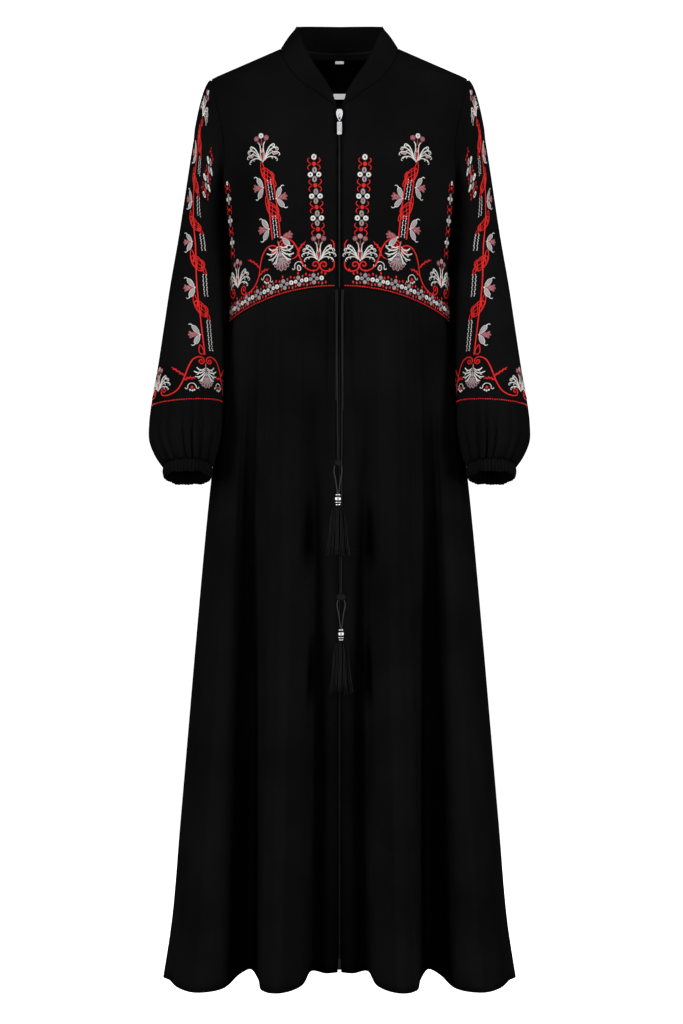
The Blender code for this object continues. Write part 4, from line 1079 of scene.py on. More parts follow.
def slab(outline: Array, y_front: float, thick: float, edge: float) -> Solid:
    """A flat piece with rounded edges from its (x, z) outline.

    The rings shrink towards the outline's middle, by a curve at the front's edge and at
    the back's, and two more lie on the flat of the front.

    Args:
        outline: points once round, shape (n, 2).
        y_front: depth of the front face.
        thick: thickness.
        edge: radius of the rounded edges.
    """
    middle = outline.mean(axis=0)
    away = outline - middle
    size = np.linalg.norm(away, axis=1, keepdims=True)
    sines = np.sin(np.linspace(0.0, math.pi / 2.0, 5))
    round_off = [(away * (1.0 - edge * (1.0 - inward) / size), y_front + edge - edge * depth)
                 for inward, depth in zip(sines, sines[::-1])]
    back = [(ring, 2.0 * y_front + thick - y) for ring, y in round_off[::-1]]
    flat = [(away * share, y_front) for share in (0.35, 0.8)]
    rings = [spots(ring[:, 0] + middle[0], y, ring[:, 1] + middle[1])
             for ring, y in flat + round_off + back]
    poles = spots(middle[0], np.array([y_front, y_front + thick]), middle[1])
    return capped(np.array(rings), poles)


def round_rectangle(x_half: float, z_low: float, z_high: float, radius: float) -> Array:
    """Outline of a rectangle with quarter circles at its corners."""
    turn = np.linspace(0.0, math.pi / 2.0, 9)
    corner = radius * cosine_sine(turn)
    right, top, low = x_half - radius, z_high - radius, z_low + radius
    corners = (((right, top), (1.0, 1.0), corner), ((-right, top), (-1.0, 1.0), corner[::-1]),
               ((-right, low), (-1.0, -1.0), corner), ((right, low), (1.0, -1.0), corner[::-1]))
    return np.concatenate([np.array(middle) + np.array(flip) * arc for middle, flip, arc in corners])


def arc_points(centre: Sequence[float], radii: tuple[float, float], turns: Array) -> Array:
    """Points of an ellipse in the side plane x = centre x, turns from the front upwards."""
    return spots(centre[0], centre[1] - radii[0] * np.cos(turns),
                 centre[2] + radii[1] * np.sin(turns))


# ------------------------------------------------------------------ the zip


@dataclass
class ZipFastener:
    """Tapes, coil, slider, link and pull tab between the front edges."""

    form: BodyForm
    skirt: Skirt
    tape_in: float = 0.0007
    tape_out: float = 0.0105
    tape_top: float = -0.0930
    tape_end: float = -1.3665
    box_half: float = 0.0024
    tape_meet: float = 0.0
    meet_over: float = 0.004
    behind: float = 0.0021
    tape_thick: float = 0.0009
    chain_top: float = -0.1124
    chain_end: float = -1.350
    line_rows: int = 420
    tooth_pitch: float = 0.0016
    tooth_reach: float = 0.0014
    tooth_radius: float = 0.00055
    tooth_lean: float = 0.22
    tooth_forward: float = 0.0001
    core_radius: float = 0.0009
    core_behind: float = 0.0006
    box_thick: float = 0.0014
    box_forward: float = 0.0012
    box_corner: float = 0.0006
    box_edge: float = 0.0003
    slider_top: float = -0.0978
    slider_length: float = 0.0140
    slider_halves: tuple[float, float, float] = (0.0042, 0.0046, 0.0034)
    slider_shoulder: float = 0.0040
    slider_thick: float = 0.0014
    slider_gap: float = 0.0004
    slider_edge: float = 0.0005
    stem_half: float = 0.0034
    stem_depth: float = 0.0028
    stem_corner: float = 0.0012
    stem_edge: float = 0.0004
    crown_rise: float = 0.0048
    crown_half: float = 0.0030
    crown_wire: float = 0.0008
    crown_drop: float = 0.0105
    crown_reach: float = 0.00425
    link_radii: tuple[float, float] = (0.0020, 0.0037)
    link_wire: float = 0.00058
    link_inner: float = 0.00055
    link_raise: float = 0.0003
    knee_drop: float = 0.0074
    knee_bow: float = 1.32
    ring_steps: int = 40
    pull_clear: float = 0.00025
    lean: float = math.radians(12.0)
    eye_radius: float = 0.0019
    eye_wire: float = 0.0005
    tab_length: float = 0.0198
    tab_half: float = 0.0035
    tab_thick: float = 0.0014
    tab_corner: float = 0.0013
    groove_deep: float = 0.00018
    groove_half: float = 0.00032
    grooves_at: tuple[float, ...] = (-0.42, 0.0, 0.42)
    edge: Array = field(init=False, repr=False)

    def __post_init__(self) -> None:
        """Work out the points of the right front edge, bottom up."""
        half = Bodice(self.form).half_panel(Face.FRONT)[:, 0]
        low = self.skirt.grid()[0][1:, 0]
        line = np.concatenate([low[::-1], half])
        self.edge = line[np.argsort(line[:, 2])]

    def edge_depth(self, z: Array) -> Array:
        """Depth of the fronts' outer face at the opening, at heights z."""
        return np.interp(z, self.edge[:, 2], self.edge[:, 1])

    def tape(self, side: Side, weave: Material) -> None:
        """One tape: a strip behind the front's edge that meets the other below the coil."""
        z = np.linspace(self.tape_top, self.tape_end, self.line_rows)
        apart = np.clip((z - self.chain_end) / self.meet_over, 0.0, 1.0)[:, None]
        start = self.tape_meet + (self.tape_in - self.tape_meet) * apart
        x = side.value * (start + (self.tape_out - start) * np.linspace(0.0, 1.0, 6))
        y = self.edge_depth(z) + self.behind
        front = spots(x, y[:, None], z[:, None])
        node = "zip_tape_" + side.word
        mesh = shell_mesh(node + "_woven", front, front + [0.0, self.tape_thick, 0.0])
        add_piece(node + "_woven", mesh, weave, stands_for=(node,))

    def teeth(self) -> Solid:
        """Short six-sided bars across the opening, thin at their ends, turned a little."""
        z = np.arange(self.chain_top, self.chain_end, -self.tooth_pitch)[:, None, None]
        y = self.edge_depth(z) + self.behind - self.tooth_forward
        sides = 6
        way = np.where(np.arange(len(z)) % 2 == 0, 1.0, -1.0)[:, None]
        lean = way * self.tooth_lean * self.tooth_pitch
        run = np.array([-1.0, -0.72, 0.0, 0.72, 1.0])
        thick = (np.array([0.30, 0.86, 1.0, 0.86, 0.30]) * self.tooth_radius)[None, :, None]
        turn = full_turn(sides)
        points = spots((run * self.tooth_reach)[None, :, None], y - 1.1 * thick * np.sin(turn),
                       z + (lean * run)[..., None] + thick * np.cos(turn))
        caps = np.array([[3, 2, 1, 0], [5, 4, 3, 0], [24, 25, 26, 27], [24, 27, 28, 29]])
        one = np.concatenate([grid_quads(len(run), sides, True), caps])
        starts = np.arange(len(z)) * len(run) * sides
        return points.reshape(-1, 3), (one + starts[:, None, None]).reshape(-1, 4), NO_TRIS

    def chain(self, nylon: Material) -> None:
        """Coil teeth on their core, and the box at the zip's lower end."""
        z = np.linspace(self.chain_top, self.chain_end, self.line_rows)
        y = self.edge_depth(z) + self.behind
        core = spots(0.0, y + self.core_behind, z)
        box = round_rectangle(self.box_half, self.tape_end + 2.0 * self.box_corner,
                              self.chain_end + self.box_corner, self.box_corner)
        parts = [self.teeth(), sweep(core, self.core_radius, 8),
                 slab(box, float(y[-1]) - self.box_forward, self.box_thick, self.box_edge)]
        add_piece("zip_coil", mesh_from("zip_coil", *joined(parts)), nylon,
                  stands_for=("zip_chain",))

    def plate_front(self) -> float:
        """Depth of the front of the slider's plate."""
        low = self.edge_depth(self.slider_top - self.slider_length)
        return float(low) - self.slider_gap - self.slider_thick

    def hinge(self) -> Array:
        """Point on which the link swings."""
        bow = self.crown_wire * self.crown_rise / self.crown_half
        y = self.plate_front() - self.crown_rise + bow + self.link_inner + self.pull_clear
        return np.array([0.0, y, self.slider_top - self.crown_drop + self.link_raise])

    def leaned(self, points: Array) -> Array:
        """Points of the hanging pull turned about the hinge, to lie along the front."""
        pivot = self.hinge()
        c, s = math.cos(self.lean), math.sin(self.lean)
        return (points - pivot) @ np.array([[1.0, 0.0, 0.0], [0.0, c, -s], [0.0, s, c]]) + pivot

    def slider(self, metal: Material) -> None:
        """Plate with rounded shoulders, body between the edges, and the crown over it."""
        top, neck, end = self.slider_halves
        rows = np.linspace(0.0, 1.0, 13)
        low = self.slider_top - self.slider_length
        share = self.slider_shoulder / self.slider_length
        half = smooth([0.0, 0.18, share, 0.72, 1.0],
                      [top * 0.72, top, neck, 0.9 * neck, end * 0.9], rows)
        side = spots(half, self.slider_top - self.slider_length * rows)
        outline = np.concatenate([side, side[::-1] * [-1.0, 1.0]])
        front = self.plate_front()
        stem = round_rectangle(self.stem_half, low + self.stem_edge,
                               self.slider_top - self.stem_corner, self.stem_corner)
        arch = arc_points((0.0, front, self.slider_top - self.crown_drop),
                          (self.crown_reach, self.crown_half), np.linspace(-1.75, 1.75, 25))
        parts = [slab(outline, front, self.slider_thick, self.slider_edge),
                 slab(stem, front + 0.5 * self.slider_thick, self.stem_depth, self.stem_edge),
                 sweep(arch, self.crown_wire, 14)]
        add_piece("slider", mesh_from("slider", *joined(parts)), metal,
                  stands_for=("zip_slider",))

    def swinging(self, name: str, solid: Solid, metal: Material, body: str) -> None:
        """A part of the pull, leaned about the hinge, that rides on its own body."""
        points, *faces = solid
        add_piece(name, mesh_from(name, self.leaned(points), *faces), metal, body,
                  ("pull_" + name,))

    def pull(self, metal: Material) -> None:
        """Oval link, and the tab with its eye and fine upright grooves."""
        _, y, top = self.hinge()
        knee = top - self.knee_drop
        turn = full_turn(self.ring_steps)
        link = spots(self.link_radii[0] * np.cos(turn), y,
                     (top + knee) / 2.0 + self.link_radii[1] * np.sin(turn))
        solid = sweep(link, self.link_wire, 12, (0.0, 1.0, 0.0), closed=True)
        self.swinging("link", solid, metal, LINK_BODY)
        bow = self.link_inner * self.knee_bow
        eye_z = knee + bow + self.pull_clear - (self.eye_radius - self.eye_wire)
        ring = arc_points((0.0, y, eye_z), (self.eye_radius, self.eye_radius), turn)
        parts = [self.tab(eye_z - self.eye_radius, y), sweep(ring, self.eye_wire, 12, closed=True)]
        self.swinging("tab", joined(parts), metal, PULL_BODY)

    def tab(self, top: float, y: float) -> Solid:
        """The tab: a rounded bar whose front has upright grooves.

        Half-width follows the corner circles, and the front's depth is a row of bells.
        """
        v = np.linspace(0.0, 1.0, 40)
        edge = self.tab_corner
        z = (top - self.tab_length * v)[:, None]
        near = np.minimum(v, 1.0 - v) * self.tab_length
        corner = edge - np.sqrt(np.maximum(edge ** 2 - np.maximum(edge - near, 0.0) ** 2, 0.0))
        u = np.sin(np.linspace(-math.pi / 2.0, math.pi / 2.0, 49))
        x = (self.tab_half - corner)[:, None] * u
        off = np.clip((np.abs(u) - 0.86) / 0.14, 0.0, 1.0)
        bulge = 0.5 * self.tab_thick * (0.55 + 0.45 * np.sqrt(1.0 - off ** 2))
        field_z = np.clip(np.minimum(v - 0.12, 0.86 - v) * 30.0, 0.0, 1.0)[:, None]
        grooves = sum(bell(x - at * self.tab_half, self.groove_half) for at in self.grooves_at)
        thin = 0.5 + 0.5 * np.sqrt(np.clip(near / 0.0005, 0.0, 1.0)[:, None])
        lift = (bulge - self.groove_deep * grooves * field_z) * thin
        return shell(spots(x, y - lift, z), spots(x, y + bulge * thin, z))

    def build(self, weave: Material, nylon: Material, metal: Material) -> None:
        """Make the whole zip."""
        for side in Side:
            self.tape(side, weave)
        self.chain(nylon)
        self.slider(metal)
        self.pull(metal)


# ------------------------------------------------------------------ ties and tassels


@dataclass(frozen=True)
class Tie:
    """One waist tie: its place, its route and where its knot, bead and tassel hang."""

    word: str
    route: tuple[Spot, ...]
    length: float
    tail: tuple[Spot, ...]
    tail_length: float
    knot_z: float
    bead_z: float
    tassel_z: float
    hem_z: float
    knot_wide: float


TIES = (
    Tie("upper",
        ((-0.00300, -0.1190, -0.3640), (-0.00300, -0.1205, -0.38386), (-0.00345, -0.1205, -0.42608),
         (-0.00285, -0.12675, -0.51298), (-0.00240, -0.1330, -0.58747), (-0.00210, -0.1330, -0.6123)),
        0.249,
        ((-0.0052, -0.1186, -0.3640), (-0.0048, -0.1190, -0.3840), (-0.0046, -0.1188, -0.4540),
         (-0.0048, -0.1190, -0.5250)),
        0.161, -0.6170, -0.6629, -0.6796, -0.7537, 0.0048),
    Tie("lower",
        ((0.00340, -0.1190, -0.3640), (0.00340, -0.1205, -0.39954), (0.00391, -0.1205, -0.47508),
         (0.00323, -0.1205, -0.63058), (0.00272, -0.1205, -0.76387), (0.00238, -0.1205, -0.8083)),
        0.445,
        ((0.0056, -0.1186, -0.3640), (0.0050, -0.1190, -0.3840), (0.0049, -0.1188, -0.4540),
         (0.0050, -0.1190, -0.5390)),
        0.175, -0.8130, -0.8602, -0.8770, -0.9540, 0.0068),
)


@dataclass
class WaistTies:
    """Two twisted cords with knots, loops, ribbed beads and tassels, and their free ends."""

    cord: float = 0.0021
    loop_cord: float = 0.0016
    ring_step: float = 0.0005
    strands_in_cord: int = 3
    twist_pitch: float = 0.0060
    groove: float = 0.00032
    knot_half: float = 0.0046
    knot_turns: float = 3.2
    gap: float = 0.0003
    loop_spread: tuple[float, float, float, float] = (0.0044, 0.0056, 0.0034, 0.0008)
    loop_drop: float = 0.004
    bead_groove: float = 0.0029
    bead_bands: tuple[Spot, ...] = (
        (0.00, 0.13, 0.0048), (0.22, 0.60, 0.0058), (0.68, 0.80, 0.0056), (0.88, 1.00, 0.0047),
    )
    bead_core: float = 0.0038
    head_height: float = 0.0030
    head_radii: tuple[float, float, float] = (0.0034, 0.0040, 0.0044)
    head_wind: float = 0.00014
    head_turns: float = 9.0
    tassel_shape: tuple[Flat, ...] = (
        (0.00, 0.0050), (0.04, 0.0072), (0.08, 0.0086), (0.15, 0.0102), (0.26, 0.0115),
        (0.50, 0.0129), (0.76, 0.0153), (1.00, 0.0186),
    )
    strands: int = 270
    strand_radius: float = 0.00044
    locks: int = 34
    lock_deep: float = 0.12
    outward: float = 0.22
    ragged: float = 0.04
    sway: float = 0.0006
    lit_below: float = 0.55
    golden_angle: float = math.pi * (3.0 - math.sqrt(5.0))

    def twisted(self, name: str, route: Sequence[Spot], diameter: float, yarn: Material,
                node: str) -> tuple[Piece, Array]:
        """A twisted cord along a smooth curve through its route, and that curve's points."""
        route = np.array(route)
        count = max(12, int(walked(route)[-1] / self.ring_step))
        path = resampled(route, count)
        parts = sweep(path, diameter / 2.0, 12, lobes=self.strands_in_cord, lobe_deep=self.groove,
                      lobe_pitch=self.twist_pitch)
        piece = add_piece(name, mesh_from(name, *parts), yarn, stands_for=(node,))
        return piece, path

    def build(self, finishes: Finishes) -> None:
        """Make both ties with what hangs on them, and both free ends."""
        yarn = finishes.yarn
        for tie in TIES:
            knot = self.knot(tie, yarn)
            piece, path = self.twisted("cord_" + tie.word, tie.route, self.cord, yarn,
                                       "tie_" + tie.word)
            tail, path = self.twisted("cord_end_" + tie.word, tie.tail, self.cord, yarn,
                                      "tie_end_" + tie.word)
            self.loops(tie, finishes.sateen)
            self.bead(tie, finishes)
            self.tassel(tie, finishes)

    def knot(self, tie: Tie, yarn: Material) -> Piece:
        """Wrapped knot: turns of the cord side by side, a flattened helix whose ends tuck in."""
        x, y = tie.route[-1][:2]
        turn = np.linspace(0.0, 2.0 * math.pi * self.knot_turns, 150)
        share = turn / turn[-1]
        tuck = 1.0 - 0.5 * (2.0 * share - 1.0) ** 8
        half = self.knot_half - self.cord / 2.0
        wide = (tie.knot_wide - self.cord / 2.0) * tuck
        path = spots(x + wide * np.cos(turn), y + 0.8 * half * tuck * np.sin(turn),
                     tie.knot_z + half - 2.0 * half * share)
        solid = sweep(path, self.cord / 2.0, 12, (0.0, 0.0, 1.0))
        name = "knot_tied_" + tie.word
        return add_piece(name, mesh_from(name, *solid), yarn,
                         stands_for=("knot_" + tie.word,))

    def loops(self, tie: Tie, yarn: Material) -> None:
        """The two strands between the knot and the bead, which bow apart."""
        x, y = tie.route[-1][:2]
        low = tie.knot_z - self.knot_half - self.gap
        heights = (low, low - self.loop_drop, (low + tie.bead_z) / 2.0, tie.bead_z + self.gap)
        for letter, way in (("a", -1.0), ("b", 1.0)):
            route = [(x + way * spread, y, z) for spread, z in zip(self.loop_spread, heights)]
            name = f"loop_strand_{tie.word}_{letter}"
            piece, path = self.twisted(name, route, self.loop_cord, yarn,
                                       f"loop_{tie.word}_{letter}")

    def bead(self, tie: Tie, finishes: Finishes) -> None:
        """Turned bead: bright rounded bands of the table round a near-black core, which shows in the
        grooves as painted shade, and a hole.
        """
        x, y = tie.route[-1][:2]
        top, low = tie.bead_z, tie.tassel_z + self.gap
        share = np.linspace(0.0, 1.0, 90)
        start, end, reach = (column[:, None] for column in np.array(self.bead_bands).T)
        off = np.clip(np.abs(2.0 * (share - start) / (end - start) - 1.0), 0.0, 1.0)
        rise = (reach - self.bead_groove) * np.sqrt(1.0 - off ** 4)
        radius = self.bead_groove + rise.max(axis=0)
        body = spots(radius, top + (low - top) * share)
        lip = np.array([[0.0016, top - 0.0012], [0.0020, top - 0.0002], [0.0030, top]])
        foot = np.array([[0.0030, low], [0.0016, low + 0.0002]])
        core = np.array([[0.0022, top - 0.0006], [self.bead_core, top - 0.0008],
                         [self.bead_core, low + 0.0008], [0.0022, low + 0.0006]])
        # The core's near-black metal is painted shade in the grooves between the bands.
        for word, profile, sides, finish in (
                ("ribbed_", np.concatenate([lip, body, foot]), 48, finishes.metal),
                ("core_", core, 32, finishes.painted_groove_shade)):
            name = "bead_" + word + tie.word
            mesh = mesh_from(name, *turned((x, y), profile, sides))
            add_piece(name, mesh, finish, stands_for=("bead_" + tie.word,))

    def tassel(self, tie: Tie, finishes: Finishes) -> None:
        """Wrapped head and the strands below it, spread by the golden angle.

        A strand's distance from the axis follows the table's bell. Its turn is drawn to the
        middle of one of the locks, more so on the way down, by a sine of the turn, and each
        strand has its own bend and length. Strands between two locks lie deeper, and they get a
        near-black copy of the floss, which is painted shade.
        """
        x, y = tie.route[-1][:2]
        top = tie.tassel_z
        share = np.linspace(0.0, 1.0, 40)
        shape = smooth([0.0, 0.25, 1.0], self.head_radii, share)
        wound = self.head_wind * np.abs(np.sin(math.pi * self.head_turns * share))
        head = turned((x, y), spots(shape + wound, top - self.head_height * share), 40)
        k = np.arange(self.strands)
        turn = k * self.golden_angle
        place = ((k + 0.5) / self.strands) ** self.outward
        down = np.linspace(0.0, 1.0, 9) ** 1.4
        start = top - 0.1 * self.head_height
        uneven = 1.0 - self.ragged * np.abs(np.sin(k * 12.9898))
        z = start + (tie.hem_z - start) * down[None, :] * uneven[:, None]
        spread = smooth(*np.array(self.tassel_shape).T, down)[None, :]
        sway = self.sway * np.sin(k[:, None] * 4.1 + 5.0 * down) * down
        between = (1.0 - np.cos(self.locks * turn[:, None])) / 2.0
        radius = place[:, None] * spread * (1.0 - self.lock_deep * between * down) + sway
        drawn = (0.45 + 0.5 * down) / self.locks * np.sin(self.locks * turn[:, None])
        drift = turn[:, None] - drawn + 0.03 * np.sin(k * 7.7)[:, None] * down
        axis = spots(x + radius * np.cos(drift), y + radius * np.sin(drift), z)
        corner = np.arange(4) * math.pi / 2.0
        wide = self.strand_radius * (0.9 + 0.1 * np.minimum(1.0, 3.0 * down))
        out = spots(np.cos(corner), np.sin(corner), 0.0)
        points = axis[:, :, None] + wide[None, :, None, None] * out
        rows = len(down)
        last = (rows - 1) * 4
        caps = [[3, 2, 1, 0], [last, last + 1, last + 2, last + 3]]
        one = np.concatenate([grid_quads(rows, 4, True), caps])
        node = "tassel_" + tie.word
        # Strands near the middle of a lock get the floss; the rest get a near-black copy of it, which
        # is painted shade.
        lit = between[:, 0] < self.lit_below
        for word, chosen, finish in (("_strands", lit, finishes.floss),
                                     ("_hollows", ~lit, finishes.shade)):
            bundle = points[chosen]
            starts = np.arange(len(bundle)) * rows * 4
            quads = (one[None] + starts[:, None, None]).reshape(-1, 4)
            mesh = mesh_from(node + word, bundle.reshape(-1, 3), quads)
            add_piece(node + word, mesh, finish, stands_for=(node,))
        mesh = mesh_from(node + "_head", *head)
        add_piece(node + "_head", mesh, finishes.yarn, stands_for=(node,))


# ------------------------------------------------------------------ inside of the neck


@dataclass(frozen=True)
class Strip:
    """A tape or label inside the back of the neck."""

    node: str
    half_width: float
    top_z: float
    height: float
    slot: Slot


@dataclass
class NeckInside:
    """Neck tape and two bare labels on the inner face of the back."""

    form: BodyForm
    under: float = 0.0023
    thick: float = 0.0008
    strips: tuple[Strip, ...] = (
        Strip("neck_tape", 0.052, 0.0190, 0.0094, Slot.TAPE),
        Strip("size_label", 0.0066, 0.0082, 0.0036, Slot.LABEL),
        Strip("plain_label", 0.025, -0.0375, 0.0080, Slot.LABEL),
    )

    def build(self, finishes: dict[Slot, Material]) -> None:
        """Lay each strip on the back's points, moved inwards, with soft edges."""
        for strip in self.strips:
            x = np.linspace(-strip.half_width, strip.half_width, 33)
            z = strip.top_z - strip.height * np.linspace(0.0, 1.0, 13)
            grid = self.form.point(*np.meshgrid(x, z), Face.BACK)
            normals = self.form.normals(grid, Face.BACK)
            outer = grid - self.under * normals
            inner = outer - self.thick * normals
            name = strip.node + "_sewn"
            mesh = mesh_from(name, *shell(outer, inner), uv=twice(measured_uv(grid)))
            add_piece(name, mesh, finishes[strip.slot], stands_for=(strip.node,))


# ------------------------------------------------------------------ embroidery


@dataclass(frozen=True)
class Ground:
    """Cloth that embroidery is laid on: a table of points against a flat plan.

    The plan's first coordinate is the way round from a line of the garment and the
    second is the height, or the way down a sleeve as a negative number.
    """

    around: Array
    heights: Array
    points: Array
    normals: Array

    def lay(self, plan: Array, lift: Array) -> Array:
        """Places of plan points on the cloth.

        Args:
            plan: shape (n, 2).
            lift: distance above the cloth, shape (n,).

        Returns:
            Points read from the table by straight lines between its four nearest
            entries, moved out along the normals read in the same way.
        """
        u = np.interp(plan[:, 0], self.around, np.arange(len(self.around)))
        v = np.interp(plan[:, 1], self.heights, np.arange(len(self.heights)))
        i = np.minimum(v.astype(int), len(self.heights) - 2)
        j = np.minimum(u.astype(int), len(self.around) - 2)
        f, g = (v - i)[:, None], (u - j)[:, None]

        def read(table: Array) -> Array:
            """The table between its entries."""
            upper = table[i, j] * (1.0 - g) + table[i, j + 1] * g
            lower = table[i + 1, j] * (1.0 - g) + table[i + 1, j + 1] * g
            return upper * (1.0 - f) + lower * f

        return read(self.points) + lift[:, None] * unit(read(self.normals))


def bodice_ground(bodice: Bodice, step: float = 0.0015, reach: float = 0.235) -> Ground:
    """The right front against the way round from the centre front and the height."""
    form = bodice.form
    heights = np.arange(form.seam_side_z - 0.004, -0.03, step)
    around = np.arange(0.0, reach, step)
    turn = np.linspace(0.0, math.pi / 2.0, 400)
    wide = form.half_width(heights)[:, None] * np.sin(turn)
    deep = form.depth(heights, Face.FRONT)[:, None] * np.cos(turn)
    gone = np.hypot(np.diff(wide, axis=1), np.diff(deep, axis=1))
    gone = np.concatenate([np.zeros((len(heights), 1)), np.cumsum(gone, axis=1)], axis=1)
    x = np.stack([np.interp(around, way, row) for way, row in zip(gone, wide)])
    points = bodice.surface(x, np.broadcast_to(heights[:, None], x.shape), Face.FRONT)
    return Ground(around, heights, points, grid_normals(points, False))


def sleeve_ground(sleeve: Sleeve, step: float = 0.0015, reach: Flat = (-0.17, 0.31)) -> Ground:
    """The right sleeve against the way round from its outer line and the way down it."""
    grid = sleeve.grid()
    wrapped = np.concatenate([grid, grid, grid], axis=1)
    count = grid.shape[1]
    way = np.linalg.norm(np.diff(wrapped, axis=1), axis=-1)
    way = np.concatenate([np.zeros((len(grid), 1)), np.cumsum(way, axis=1)], axis=1)
    way -= way[:, count:count + 1]
    around = np.arange(*reach, step)
    points = np.stack([np.stack([np.interp(around, gone, row[:, k]) for k in range(3)], axis=-1)
                       for gone, row in zip(way, wrapped)])[::-1]
    heights = -walked(grid[:, 0])[::-1]
    normals = grid_normals(points, False)
    outer = int(np.argmin(np.abs(around)))
    return Ground(around, heights, points, normals * np.sign(np.mean(normals[:, outer, 0])))


class Silk(Enum):
    """Colours of embroidery thread, named as their finishes are."""

    RED = "red"
    WHITE = "white"
    GREY = "grey"
    ROSE = "rose"
    PINK = "pink"
    BLUE = "blue"

    @property
    def slot(self) -> Slot:
        """The record's slot that the colour belongs to."""
        return {Silk.RED: Slot.RED, Silk.ROSE: Slot.ROSE, Silk.PINK: Slot.ROSE}.get(self, Slot.WHITE)


RED, WHITE, GREY, ROSE, PINK, BLUE = Silk


@dataclass(frozen=True)
class Place:
    """Where a motif is drawn on the plan, in millimetres; it grows along its own +y."""

    x: float = 0.0
    y: float = 0.0
    turn: float = 0.0
    size: float = 1.0
    flip: bool = False

    def put(self, points: Array) -> Array:
        """Points of the motif on the plan: flipped, turned anticlockwise, scaled and moved."""
        points = np.asarray(points, dtype=float)
        c, s = math.cos(math.radians(self.turn)), math.sin(math.radians(self.turn))
        x = -points[..., 0] if self.flip else points[..., 0]
        y = points[..., 1]
        across, up = c * x - s * y, s * x + c * y
        return spots(self.x + self.size * across, self.y + self.size * up)

    def at(self, x: float, y: float, turn: float = 0.0, size: float = 1.0,
           flip: bool = False) -> Place:
        """A place that is told from this one."""
        x, y = self.put(np.array([x, y])).tolist()
        way = -1.0 if self.flip else 1.0
        return Place(x, y, self.turn + way * turn, self.size * size, self.flip != flip)

    def sides(self) -> tuple[Place, Place]:
        """This place and the same one flipped."""
        return self, self.at(0.0, 0.0, flip=True)


def curl(centre: Flat, radii: Flat, start: float, turns: float) -> Array:
    """Points of a spiral whose radius shrinks by like shares, from its outer end inwards.

    Args:
        centre: its middle.
        radii: outer and inner radius.
        start: direction of the outer end from the middle, in degrees.
        turns: turns made on the way in; below 0 they go clockwise.

    Returns:
        Points about a tenth of a turn apart.
    """
    share = np.linspace(0.0, 1.0, max(4, int(10 * abs(turns))))
    angle = math.radians(start) + 2.0 * math.pi * turns * share
    radius = radii[0] * (radii[1] / radii[0]) ** share
    return np.array(centre) + radius[:, None] * cosine_sine(angle)


